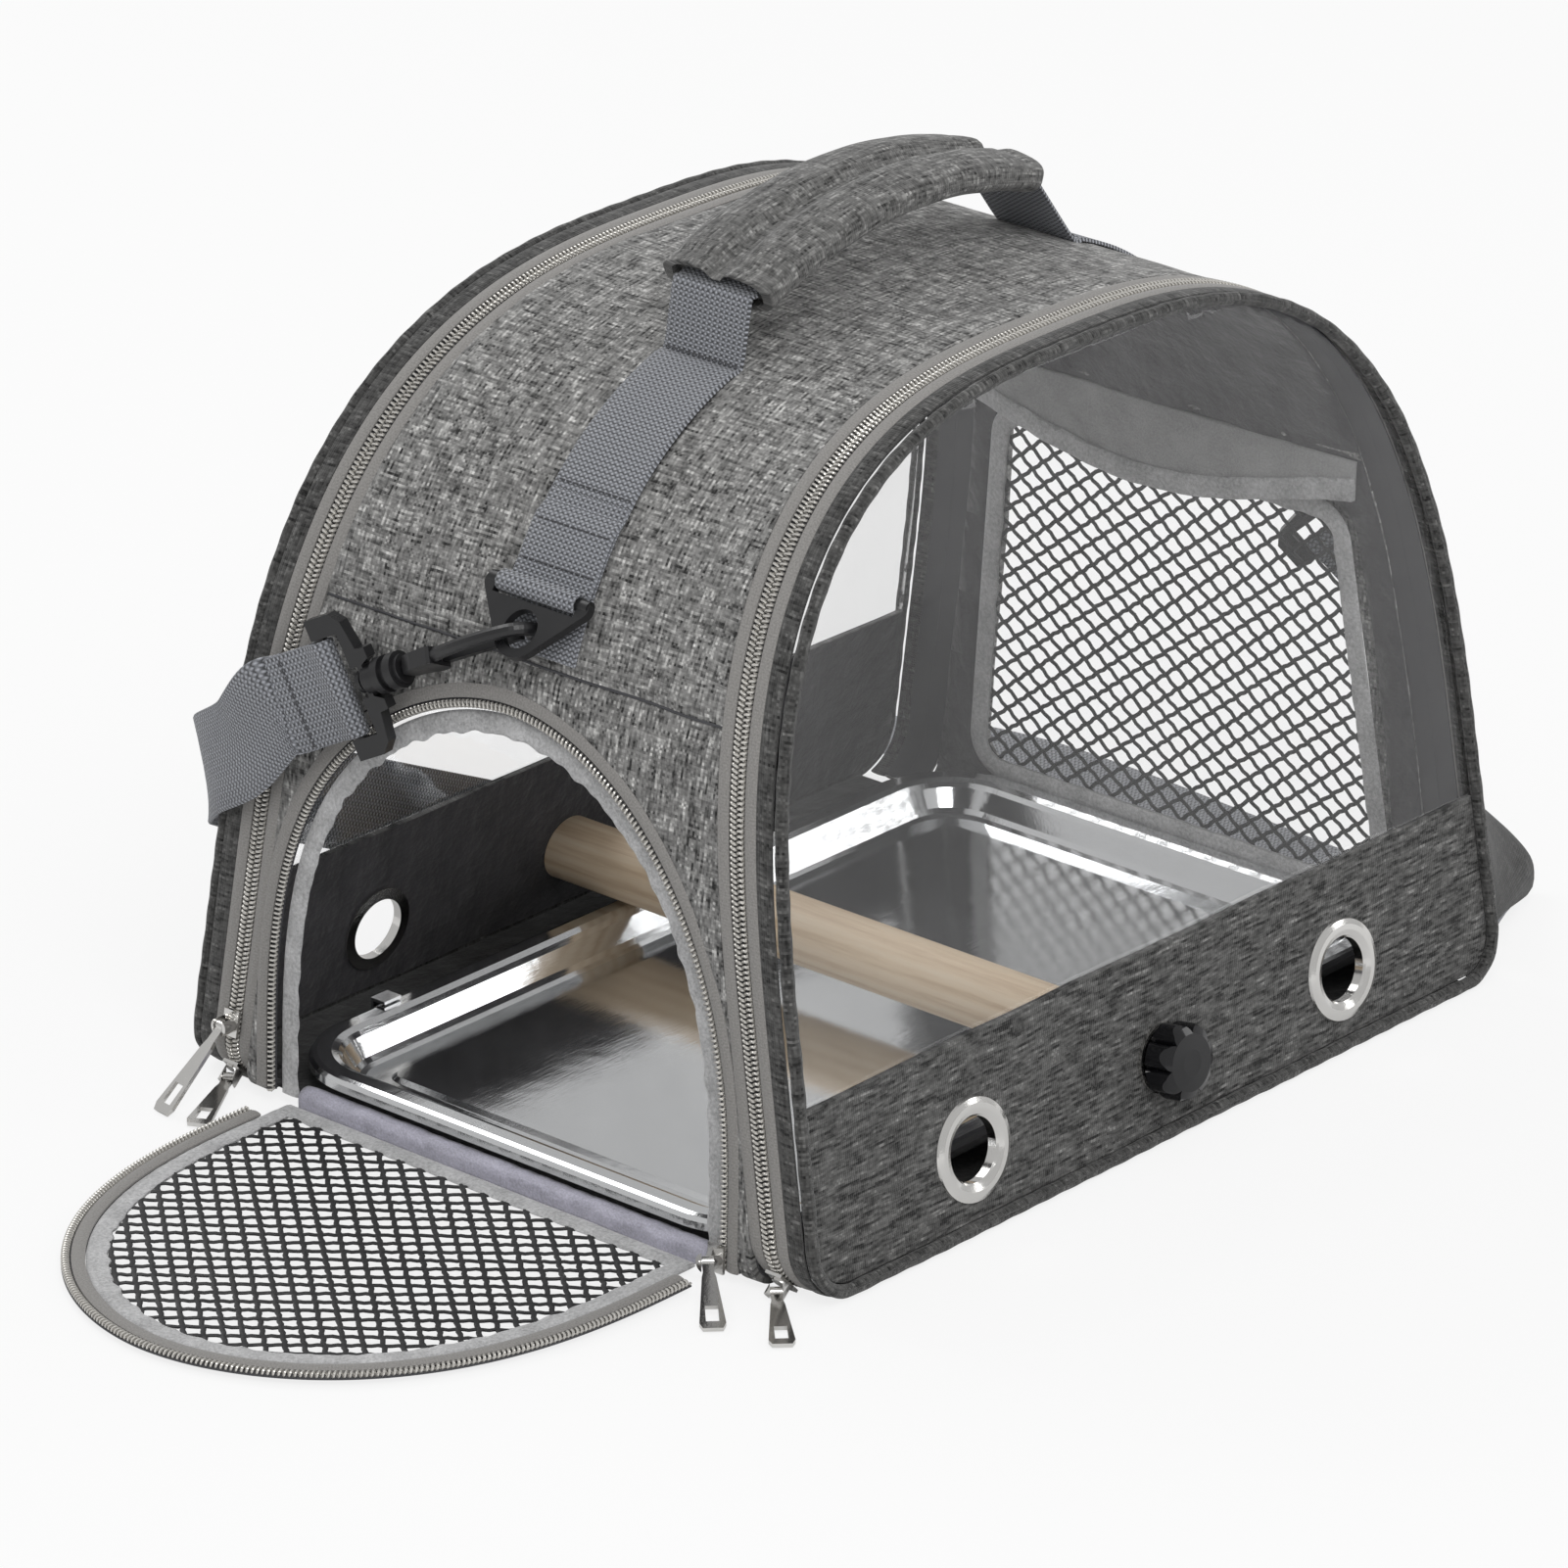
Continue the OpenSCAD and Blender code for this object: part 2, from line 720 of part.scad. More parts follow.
module door_mesh() {
    color("#1c1c1e") on_open_door() layer(0.8, 0.8 + mesh_t) intersection() {
        translate([-door_y, door_h / 2]) strands(door_h * 0.86);
        difference() {
            door_shape(-door_cut - binding_w - 0.1);
            translate([-cabin_w, -cabin_w + hem_start + binding_w + 0.1])
                square([2 * cabin_w, cabin_w]);
        }
    }
}

sill_h = 8;
sill_gap = 0.6;
sill_x = -cabin_w / 2 + 0.4 + binding_t + sill_gap + 0.2;
module door_sill() {
    half = door_half_w - binding_w - 0.6;
    w = -floor_half_w - sill_x;
    color("#b9b7c6") translate([0, door_y, 0]) {
        translate([sill_x, -half, 0]) cube([w, 2 * half, sill_h - w / 2]);
        translate([sill_x + w / 2, 0, sill_h - w / 2]) rotate([90, 0, 0])
            cylinder(h = 2 * half, d = w, center = true, $fn = 48);
    }
}

mesh_gap = 0.3;

// Half width of the cabin at height z
function half_width(z) =
    z < spring_z ? cabin_w / 2 * taper(z)
    : cabin_w / 2 * taper(z)
        * pow(1 - pow((z - spring_z) / (cabin_h - spring_z), arch_power), 1 / arch_power);

// The net is stretched flat between the foot and the head of its window
net_foot_x = half_width(window_foot - mesh_lap) - fabric_t - mesh_gap;
net_head_x = half_width(window_head + mesh_lap) - fabric_t - mesh_gap;
net_rise = window_head - window_foot + 2 * mesh_lap;
net_lean = atan2(net_foot_x - net_head_x, net_rise);
module on_far_net() {
    translate([net_foot_x, 0, window_foot - mesh_lap]) rotate([90 - net_lean, 0, 90])
        translate([0, -(window_foot - mesh_lap), 0]) children();
}

module far_mesh() {
    color("#1c1c1e") on_far_net() layer(0, mesh_t)
        intersection() {
            translate([0, (window_foot + window_head) / 2]) strands(cabin_w * 0.4);
            far_window_shape(mesh_lap);
        }
}

module far_mesh_binding() {
    color("#a9a9a8") on_far_net() layer(mesh_t + 0.1, mesh_t + 0.1 + binding_t) difference() {
        far_window_shape(mesh_lap);
        far_window_shape(mesh_lap - binding_w);
    }
}

flap_top = seam_z - 3;
flap_edge = 186;
flap_sag = 20;
flap_half = 96;
flap_t = 1.2;

// The hem of the short curtain over the mesh wall, which hangs in a curve
function flap_hem(y) = flap_edge - flap_sag * pow(cos(90 * (y - 10) / (flap_half + 14)), 1.4);

// It hangs straight down from the seam
module far_flap() {
    x = half_width(flap_top) - fabric_t - lining_t - 0.7;
    color("#8f8f92") translate([x, 0, 0]) rotate([90, 0, 90]) {
        layer(0, flap_t)
            polygon(concat([[-flap_half, flap_top], [flap_half, flap_top]],
                           [for (y = [flap_half : -12 : -flap_half]) [y, flap_hem(y)]]));
        layer(0, binding_t)
            polygon(concat([for (y = [-flap_half : 12 : flap_half]) [y, flap_hem(y) + binding_w]],
                           [for (y = [flap_half : -12 : -flap_half]) [y, flap_hem(y)]]));
    }
}

// ---- sliders and pulls ----------------------------------------------------------

slider_clear = 0.3;
inner_clear = 1.35;
plate_t = 1.2;
fin_t = 0.7;
plate_half = teeth_gap / 2 + teeth_w + 0.5;
pin_out = 4;
pin_d = 1.8;
pin_clear = 0.2;
knuckle_r = 2.1;
knuckle_w = 4.2;
plate_out = teeth_proud + slider_clear + plate_t;
plate_in = teeth_t - teeth_proud + inner_clear;
flat_plate_in = teeth_t - teeth_proud + slider_clear;

// Side view of a slider: +x out of the cabin, y along the zip
module slider_plates(inner = plate_in) {
    translate([plate_out - plate_t, -slider_len / 2]) square([plate_t, slider_len]);
    translate([-inner - plate_t, -slider_len / 2]) square([plate_t, slider_len]);
}

module slider_fin(inner = plate_in) {
    translate([-inner - plate_t / 2, -slider_len / 4])
        square([inner + plate_out, slider_len / 2]);
}

// The eared turret on a slider, along +x from its plate
module turret() {
    translate([plate_out - 0.4, 0, 0]) rotate([0, 90, 0])
        cylinder(h = pin_out + 2.8, r = plate_half, $fn = 48);
}

module turret_base() {
    translate([plate_out - 0.4, 0, 0]) rotate([0, 90, 0]) cylinder(h = 1.1, r = plate_half, $fn = 48);
}

// Ears, pin and base: the first child places what is drawn on the slider
module pull_mount(p, yaw) {
    difference() {
        children(0);
        translate(p) rotate([0, 0, yaw]) cube([60, knuckle_w + 0.4, 60], center = true);
    }
    children(1);
    translate(p) rotate([0, 0, yaw]) rotate([90, 0, 0])
        cylinder(h = 2 * plate_half - 1, d = pin_d, center = true, $fn = 32);
}

// A tapered pull that runs along -x from its pin
pull_t = 1.6;
module pull(p, yaw) {
    dip = asin((p.z - pull_t / 2 - 0.3) / (pull_len - 1));
    color("#bdbcb9") translate(p) rotate([0, 0, yaw]) rotate([0, -dip, 0]) {
        difference() {
            union() {
                rotate([90, 0, 0]) cylinder(h = knuckle_w, r = knuckle_r, center = true, $fn = 48);
                translate([0, 0, -pull_t / 2]) linear_extrude(pull_t) difference() {
                    polygon([[0, 2], [-7, 2], [-10, 2.6], [-pull_len + 3, 4.8], [-pull_len, 3.6],
                             [-pull_len, -3.6], [-pull_len + 3, -4.8], [-10, -2.6], [-7, -2],
                             [0, -2]]);
                    translate([-pull_len + 4, -2.4]) square([9, 4.8]);
                }
            }
            rotate([90, 0, 0])
                cylinder(h = 3 * knuckle_w, d = pin_d + 2 * pin_clear, center = true, $fn = 32);
        }
    }
}

mid_n = gap_n + teeth_gap / 2;
corner_x = cabin_w / 2 * taper(panel_corner_r) - panel_corner_r;
low_slider_a = 42.5;
low_slider_top = panel_corner_r - (panel_corner_r - plate_in - plate_t) * sin(low_slider_a)
    + slider_len / 2 * cos(low_slider_a) + 0.6;
high_slider_z = panel_corner_r + slider_len / 2 + 1.5;
high_slider_x = cabin_w / 2 * taper(high_slider_z);

// Places a slider drawn in side view at the low end of the arch zip
module low_place() {
    translate([-corner_x, panel_corner_r]) rotate(180 + low_slider_a)
        translate([panel_corner_r, 0]) children();
}

module high_place() {
    translate([-high_slider_x, high_slider_z]) rotate(180 - wall_lean) children();
}

module low_slider_solid() {
    intersection() {
        along_depth() low_place() slider_plates();
        front_slab(mid_n - plate_half, mid_n + plate_half);
    }
    intersection() {
        along_depth() low_place() slider_fin();
        front_slab(mid_n - fin_t / 2, mid_n + fin_t / 2);
    }
}

module high_slider_solid() {
    intersection() {
        along_depth() high_place() slider_plates();
        front_slab(mid_n - plate_half, mid_n + plate_half);
    }
    intersection() {
        along_depth() high_place() slider_fin();
        front_slab(mid_n - fin_t / 2, mid_n + fin_t / 2);
    }
}

low_pin_r = panel_corner_r + plate_out + pin_out;
low_pin_z = panel_corner_r - low_pin_r * sin(low_slider_a);
low_pin = [-corner_x - low_pin_r * cos(low_slider_a), -half_depth(mid_n, low_pin_z), low_pin_z];
high_pin_z = high_slider_z + (plate_out + pin_out) * sin(wall_lean);
high_pin = [-high_slider_x - (plate_out + pin_out) * cos(wall_lean), half_depth(mid_n, high_pin_z),
            high_pin_z];
low_pin_rear = [low_pin.x, -low_pin.y, low_pin.z];

// The turret's own frame, +x out of the cabin
module low_turret_frame(y) {
    translate([-corner_x, y, panel_corner_r]) rotate([0, -180 - low_slider_a, 0])
        translate([panel_corner_r, 0, 0]) children();
}

module high_turret_frame(y) {
    translate([-high_slider_x, y, high_slider_z]) rotate([0, -180 + wall_lean, 0]) children();
}

front_yaw = 45;
rear_upper_yaw = -8;
rear_lower_yaw = 27;
door_yaw = 45;

module front_slider() {
    color("#a9a7a3") {
        low_slider_solid();
        pull_mount(low_pin, front_yaw) {
            low_turret_frame(low_pin.y) turret();
            low_turret_frame(low_pin.y) turret_base();
        }
    }
}

module rear_slider_lower() {
    color("#a9a7a3") {
        to_rear() low_slider_solid();
        pull_mount(low_pin_rear, rear_lower_yaw) {
            low_turret_frame(low_pin_rear.y) turret();
            low_turret_frame(low_pin_rear.y) turret_base();
        }
    }
}

module rear_slider_upper() {
    color("#a9a7a3") {
        to_rear() high_slider_solid();
        pull_mount(high_pin, rear_upper_yaw) {
            high_turret_frame(high_pin.y) turret();
            high_turret_frame(high_pin.y) turret_base();
        }
    }
}

module front_pull() pull(low_pin, front_yaw);
module rear_pull_lower() pull(low_pin_rear, rear_lower_yaw);
module rear_pull_upper() pull(high_pin, rear_upper_yaw);

// The door's slider, at the front foot of its zip
door_slider_x = door_half_w - door_y;
door_slider_s = zip_end_y + slider_len / 2;
module at_door_slider() {
    on_door_wall() translate([door_slider_x, door_slider_s, 0]) rotate([0, -90, 0]) children();
}

function door_wall_point(p) =
    [-cabin_w / 2 + p.y * sin(wall_lean) - p.z * cos(wall_lean), -p.x,
     p.y * cos(wall_lean) + p.z * sin(wall_lean)];
door_pin = door_wall_point([door_slider_x, door_slider_s, plate_out + pin_out]);

module door_slider() {
    color("#a9a7a3") {
        at_door_slider() linear_extrude(2 * plate_half, center = true) slider_plates(flat_plate_in);
        at_door_slider() linear_extrude(fin_t, center = true) slider_fin(flat_plate_in);
        pull_mount(door_pin, door_yaw) {
            at_door_slider() turret();
            at_door_slider() turret_base();
        }
    }
}

module door_pull() pull(door_pin, door_yaw);

// ---- handle -------------------------------------------------------------------------

function arch_normal(t) =
    let (a = arch_point(t - 0.5), b = arch_point(t + 0.5), d = (b - a) / norm(b - a))
    [d.y, -d.x];

// A point over the arch at offset out
function over_arch(t, out) = arch_point(t) + out * arch_normal(t);

// The loop's bar lies over the foot of the handle
loop_at = 31.5;
loop_out = 7.8;
loop_tilt = 13;
bar_r = 2.5;
eye_r = bar_r + 0.3;
bar = over_arch(loop_at, loop_out);
seat = 0.3;

// The grip follows an arc
grip_r = (grip_half * grip_half + grip_drop * grip_drop) / (2 * grip_drop);
grip_top = cabin_h + grip_rise;
grip_a = asin(grip_half / grip_r);
grip_b = asin(grip_end / grip_r);
slot_clear = 0.2;

function grip_arc(a, r) = [r * sin(a), grip_top - grip_r + r * cos(a)];

// Middle line of the webbing from the crown of the grip to the loop's bar
lie = seat + webbing_t / 2;
lap = 2 * seat + 1.5 * webbing_t;
foot_t = [69.5, 65, 61, 57, 53, 49.5, 46, 42.5];
cuff_run = 3;
function web_side(a) = concat(
    [for (k = [1 : 6]) grip_arc(a * k / 6, grip_r)],
    [grip_arc(a, grip_r) + cuff_run * [cos(a), -sin(a)]],
    [for (t = foot_t) over_arch(t, lie)],
    [for (t = [40.5, 37, 34.5]) over_arch(t, lap)],
    [over_arch(loop_at, loop_out - eye_r - webbing_t / 2)]);
web_left = web_side(grip_a);
web_line = concat([for (k = [len(web_left) - 1 : -1 : 0]) [-web_left[k].x, web_left[k].y]],
                  [grip_arc(0, grip_r)], web_side(grip_b));

under_t = [44.5, 42.5, 39, 36, 33, 30, 27, 24.5];

module handle_webbing() {
    color("#7e828c") translate([0, handle_y, 0]) rotate([90, 0, 0])
        linear_extrude(webbing_w, center = true) {
            difference() {
                union() {
                    polygon(strip(web_line, webbing_t));
                    for (side = [0, 1]) mirror([side, 0, 0])
                        translate(bar) circle(r = eye_r + webbing_t, $fn = 48);
                }
                for (side = [0, 1]) mirror([side, 0, 0]) translate(bar) circle(r = eye_r, $fn = 48);
            }
            for (side = [0, 1]) mirror([side, 0, 0])
                polygon(strip([for (t = under_t) over_arch(t, lie)], webbing_t));
        }
}

// Two padded rolls side by side, with the webbing through them
grip_lobe = 13;
grip_clear = 0.5;
module grip_section() {
    difference() {
        union() for (side = [-1, 1]) translate([0, side * grip_lobe])
            offset(r = grip_t / 2 - 0.5) square([1, 12], center = true);
        square([webbing_t + 2 * grip_clear, webbing_w + 2 * slot_clear], center = true);
    }
}

module handle_grip() {
    color("#6f6f6d") translate([0, handle_y, grip_top - grip_r]) rotate([90, -90 + grip_b, 0])
        rotate_extrude(angle = grip_a + grip_b, $fn = 120) translate([grip_r, 0]) grip_section();
}

// ---- loops and snap hooks ---------------------------------------------------------

loop_phi = atan2(arch_normal(loop_at).y, arch_normal(loop_at).x) + loop_tilt;
slot_top = bar_r;
slot_foot = eye_r + webbing_t + 0.9;
ring_bore = 15;
ring_at = slot_foot + 2.6 + ring_bore / 2;
ring_r = ring_bore / 2 + 3.5;

// The right loop's frame: +x out through the plate, +z up the plate
module on_right_loop() {
    translate([bar.x, handle_y, bar.y]) rotate([0, -loop_phi, 0]) children();
}

module loop_plate() {
    side_r = 4;
    slot_half = webbing_w / 2 + 0.6;
    rotate([90, 0, 90]) linear_extrude(loop_t, center = true) difference() {
        hull() {
            for (s = [-1, 1]) translate([s * (loop_w / 2 - side_r), bar_r - side_r])
                circle(r = side_r, $fn = 40);
            translate([0, -ring_at]) circle(r = ring_r, $fn = 72);
        }
        translate([-slot_half, -slot_foot]) square([2 * slot_half, slot_foot + bar_r + 1]);
        translate([0, -ring_at]) circle(d = ring_bore, $fn = 64);
    }
    rotate([90, 0, 0]) cylinder(h = loop_w - 2, r = bar_r, center = true, $fn = 40);
}

module right_loop() color("#202022") on_right_loop() loop_plate();
module left_loop() color("#202022") mirror([1, 0, 0]) on_right_loop() loop_plate();

ring_c = [bar.x + ring_at * sin(loop_phi), handle_y, bar.y - ring_at * cos(loop_phi)];

// Places a hook: +x from the ring to the strap, +y out of the cabin
left_turn = [24, 26.5, 98.8];
left_frame_turn = [0, 26.5, 98.8];
right_turn = [130, 48, -126];
right_frame_turn = [170, 48, -126];
module on_left(turn) {
    translate([-ring_c.x, ring_c.y, ring_c.z]) rotate(turn) children();
}

module on_right(turn) {
    mirror([1, 0, 0]) translate([-ring_c.x, ring_c.y, ring_c.z]) rotate(turn) children();
}

// A tube along an open path in the xy plane
module bent_wire(path, r, sides = 10) {
    n = len(path);
    ring = [for (k = [0 : n - 1])
        let (a = path[max(k - 1, 0)], b = path[min(k + 1, n - 1)], d = (b - a) / norm(b - a),
             m = [d.y, -d.x])
        for (j = [0 : sides - 1])
            let (q = 360 * (j + 0.5) / sides)
            [path[k].x + r * cos(q) * m.x, path[k].y + r * cos(q) * m.y, r * sin(q)]];
    polyhedron(concat(ring, [[path[0].x, path[0].y, 0], [path[n - 1].x, path[n - 1].y, 0]]),
        concat([for (k = [0 : n - 2]) for (j = [0 : sides - 1]) for (f = [0, 1])
                   let (k2 = k + 1, j2 = (j + 1) % sides)
                   f == 0 ? [k * sides + j, k * sides + j2, k2 * sides + j2]
                          : [k * sides + j, k2 * sides + j2, k2 * sides + j]],
               [for (j = [0 : sides - 1]) [n * sides, (j + 1) % sides, j]],
               [for (j = [0 : sides - 1])
                   [n * sides + 1, (n - 1) * sides + j, (n - 1) * sides + (j + 1) % sides]]),
        convexity = 6);
}

// A smooth curve through round points
function curve(p, steps) =
    let (n = len(p))
    concat([for (k = [0 : n - 2]) for (j = [0 : steps - 1])
               let (u = j / steps, a = p[max(k - 1, 0)], b = p[k], c = p[k + 1],
                    d = p[min(k + 2, n - 1)])
               0.5 * (2 * b + (c - a) * u + (2 * a - 5 * b + 4 * c - d) * u * u
                      + (3 * b - a - 3 * c + d) * u * u * u)],
           [p[n - 1]]);

hook_path = curve([[2.2, -6.4], [-0.8, -5.6], [-2.8, -3], [-3, 0.4], [-1.4, 3.9],
                   [2.4, 6.2], [9, 7.4], [18, 7.8], [28, 7], [38, 4.8], [47, 1.6]], 3);
heel = 44;
shaft_d = 5;
barrel_bore = shaft_d + 0.6;
barrel_at = 57.5;
barrel_len = 17;
barrel_d = 13;
frame_at = barrel_at + barrel_len;
gate_x = 44;
gate_y = -4.2;
gate_pin_d = 2;
gate_w = 2.8;

module hook() {
    bent_wire(hook_path, hook_d / 2);
    difference() {
        union() {
            translate([0, 0, -3.2]) linear_extrude(6.4)
                offset(r = 1.2) offset(delta = -1.2)
                    polygon([[heel - 5, 8], [heel - 3, -6.8], [heel + 2, -7.6], [heel + 8, -4.2],
                             [heel + 12, -4], [heel + 12, 4], [heel + 6, 6.4]]);
        }
        translate([heel - 10, -12, -gate_w / 2 - 0.2]) cube([12.8, 11.6, gate_w + 0.4]);
        translate([gate_x, gate_y, 0]) cylinder(h = 10, d = gate_pin_d, center = true, $fn = 32);
    }
    translate([gate_x, gate_y, 0]) cylinder(h = 6.4, d = gate_pin_d, center = true, $fn = 32);
    translate([heel + 11.2, 0, 0]) rotate([0, 90, 0])
        cylinder(h = frame_at + 3.3 - heel - 11, d = shaft_d, $fn = 48);
    translate([frame_at + 2.4 + 0.4, 0, 0]) rotate([0, 90, 0]) cylinder(h = 2, d = 8.4, $fn = 48);
}

module gate() {
    difference() {
        union() {
            translate([gate_x, gate_y, 0]) cylinder(h = gate_w, r = 2.4, center = true, $fn = 40);
            translate([0, 0, -gate_w / 2]) linear_extrude(gate_w)
                polygon([[gate_x, gate_y + 1.5], [12, gate_y - 0.2], [5.4, gate_y - 0.5],
                         [5.2, gate_y - 2.6], [12, gate_y - 3.1], [gate_x, gate_y - 2.4]]);
        }
        translate([gate_x, gate_y, 0])
            cylinder(h = 10, d = gate_pin_d + 2 * pin_clear, center = true, $fn = 32);
    }
}

// The strap's stepped frame with its barrel
arm = 4.6;
frame_half = 27.5;
frame_len = 18;
frame_t = 5;
far_bar = frame_at + frame_len - bar_r;
slot_half_w = webbing_w / 2 + 0.7;
module bracket() {
    difference() {
        union() {
            translate([barrel_at, 0, 0]) rotate([0, 90, 0]) cylinder(h = barrel_len + 1, d = barrel_d - 2, $fn = 64);
            for (x = [barrel_at + 2, barrel_at + 8.5]) translate([x, 0, 0])
                rotate([0, 90, 0]) cylinder(h = 3.6, d = barrel_d + 1, $fn = 64);
            rotate([90, 0, 0]) linear_extrude(frame_t, center = true) difference() {
                polygon([[frame_at - 4, 8], [frame_at - 4, 12], [frame_at, 12.5], [frame_at + 2, frame_half - 4],
                         [frame_at + 6, frame_half], [frame_at + frame_len, frame_half],
                         [frame_at + frame_len, -frame_half], [frame_at + 6, -frame_half],
                         [frame_at + 2, -frame_half + 4], [frame_at, -12.5], [frame_at - 4, -12],
                         [frame_at - 4, -8], [frame_at, -6], [frame_at, 6]]);
                translate([frame_at + 2.4, -6]) square([4, 12]);
                translate([frame_at + 5.6, -slot_half_w])
                    square([frame_len - 5.6 - 2 * bar_r + 2 * bar_r + 1, 2 * slot_half_w]);
            }
            translate([far_bar, 0, 0]) cylinder(h = 2 * frame_half - 4, r = bar_r, center = true, $fn = 40);
        }
        translate([barrel_at - 1, 0, 0]) rotate([0, 90, 0])
            cylinder(h = barrel_len + 3.8, d = barrel_bore, $fn = 48);
    }
}

module left_hook() color("#1d1d1f") on_left(left_turn) hook();
module left_gate() color("#2a2a2c") on_left(left_turn) gate();
module left_bracket() color("#242426") on_left(left_frame_turn) bracket();
module right_hook() color("#1d1d1f") on_right(right_turn) hook();
module right_gate() color("#2a2a2c") on_right(right_turn) gate();
module right_bracket() color("#242426") on_right(right_frame_turn) bracket();

// ---- shoulder strap -----------------------------------------------------------------

fold_len = 26;
module strap_eye() {
    difference() {
        translate([far_bar, 0, 0])
            cylinder(h = webbing_w + 0.6, r = eye_r + webbing_t, center = true, $fn = 48);
        translate([far_bar, 0, 0]) cylinder(h = webbing_w + 2, r = eye_r, center = true, $fn = 48);
    }
}

// World place of a point in a hook's frame
function turned(v, a) =
    let (p = [v.x, v.y * cos(a.x) - v.z * sin(a.x), v.y * sin(a.x) + v.z * cos(a.x)],
         q = [p.x * cos(a.y) + p.z * sin(a.y), p.y, -p.x * sin(a.y) + p.z * cos(a.y)])
    [q.x * cos(a.z) - q.y * sin(a.z), q.x * sin(a.z) + q.y * cos(a.z), q.z];
function left_world(v) = [-ring_c.x, ring_c.y, ring_c.z] + turned(v, left_frame_turn);
function right_world(v) =
    let (p = [-ring_c.x, ring_c.y, ring_c.z] + turned(v, right_frame_turn))
    [-p.x, p.y, p.z];
strap_in = far_bar + fold_len;

// The strap's route and the direction across it at each point
route_mid = [
    [-204, 122, 143], [-196, 148, 126], [-172, 163, 110], [-136, 166, 92], [-98, 167, 74],
    [-60, 169, 56], [-22, 173, 38], [14, 182, 21], [48, 196, 7], [84, 206, 2],
    [124, 212, 1.1], [168, 208, 1.1], [206, 190, 1.1], [230, 160, 1.1], [240, 120, 1.1],
    [240, 70, 1.1], [236, 20, 1.1], [232, -30, 1.1], [230, -76, 1.1], [233, -108, 1.1],
    [238, -126, 3], [240, -128, 10], [238, -124, 22], [233, -115, 42], [226, -103, 66],
    [219, -90, 90]];
across_mid = [
    [0, 30, 90], [15, 40, 80], [10, 0, 95], [30, 0, 90], [35, 0, 85],
    [40, 5, 80], [40, 20, 75], [38, 62, 50], [28, 92, 12], [8, 98, 2],
    [-2, 100, 0], [-35, 92, 0], [-68, 72, 0], [-90, 40, 0], [-98, 8, 0],
    [-100, 0, 0], [-100, -4, 0], [-100, -4, 0], [-98, -12, 0], [-94, -32, 0],
    [-93, -36, 0], [-92, -38, 0], [-86, -46, 8], [-70, -64, 20], [-48, -76, 32],
    [-20, -82, 46]];
left_mid = left_world([strap_in, 0, 0]);
right_mid = right_world([strap_in, 0, 0]);
left_across = turned([0, 0, 1], left_frame_turn);
right_across0 = turned([0, 0, 1], right_frame_turn);
right_across = [-right_across0.x, right_across0.y, right_across0.z];
left_dir = turned([1, 0, 0], left_frame_turn);
right_dir0 = turned([1, 0, 0], right_frame_turn);
right_dir = [-right_dir0.x, right_dir0.y, right_dir0.z];

// Unit vector
function unit(v) = v / norm(v);

// A flat strip over the points i0 to i1 of a line, with a direction across it at each
module ribbon(p, w, width, thicks, i0, i1) {
    n = i1 - i0 + 1;
    last = len(p) - 1;
    ring = [for (k = [i0 : i1])
        let (t = unit(p[min(k + 1, last)] - p[max(k - 1, 0)]),
             a = unit(w[k] - (w[k] * t) * t), m = cross(t, a))
        for (c = [[-1, -1], [1, -1], [1, 1], [-1, 1]])
            p[k] + c.x * width / 2 * a + c.y * thicks[k] / 2 * m];
    polyhedron(ring,
        concat([[0, 1, 2], [0, 2, 3]],
               [for (k = [0 : n - 2]) for (j = [0 : 3]) for (f = [0, 1])
                   let (j2 = (j + 1) % 4)
                   f == 0 ? [k * 4 + j, k * 4 + 4 + j2, k * 4 + j2]
                          : [k * 4 + j, k * 4 + 4 + j, k * 4 + 4 + j2]],
               [[n * 4 - 4, n * 4 - 2, n * 4 - 3], [n * 4 - 4, n * 4 - 1, n * 4 - 2]]),
        convexity = 10);
}

pad_w = 72;
pad_t = 9;
sleeve_clear = 0.9;
route_steps = 3;
eye_in = far_bar + (eye_r + webbing_t + eye_r) / 2;
route_points = concat([left_world([eye_in, 0, 0]), left_world([far_bar + 14, 0, 0]), left_mid,
                       left_mid + 10 * left_dir], route_mid,
                      [right_mid + 12 * right_dir, right_mid, right_world([far_bar + 14, 0, 0]),
                       right_world([eye_in, 0, 0])]);
route_across = concat([left_across, left_across, left_across, left_across], across_mid,
                      [-right_across, -right_across, -right_across, -right_across]);
strap_line = curve(route_points, route_steps);
strap_across = curve(route_across, route_steps);
strap_end = len(strap_line) - 1;
pad_from = strap_end - 25;
pad_to = strap_end - 12;

// The strap is double where it is sewn back on itself
fold_steps = 2 * route_steps;
function strap_thick(k) =
    k <= fold_steps || k >= strap_end - fold_steps ? 2 * webbing_t : webbing_t;

strap_thicks = [for (k = [0 : strap_end]) strap_thick(k)];
module shoulder_strap() {
    color("#7e828c") {
        on_left(left_frame_turn) strap_eye();
        on_right(right_frame_turn) strap_eye();
        ribbon(strap_line, strap_across, webbing_w, strap_thicks, 0, strap_end);
    }
}

// The pad is a sleeve over the strap
module shoulder_pad() {
    color("#4b4b4d") difference() {
        ribbon(strap_line, strap_across, pad_w, [for (k = [0 : strap_end]) pad_t],
               pad_from, pad_to);
        ribbon(strap_line, strap_across, webbing_w + 2 * sleeve_clear,
               [for (k = [0 : strap_end]) webbing_t + 2 * sleeve_clear], pad_from - 1, pad_to + 1);
    }
}

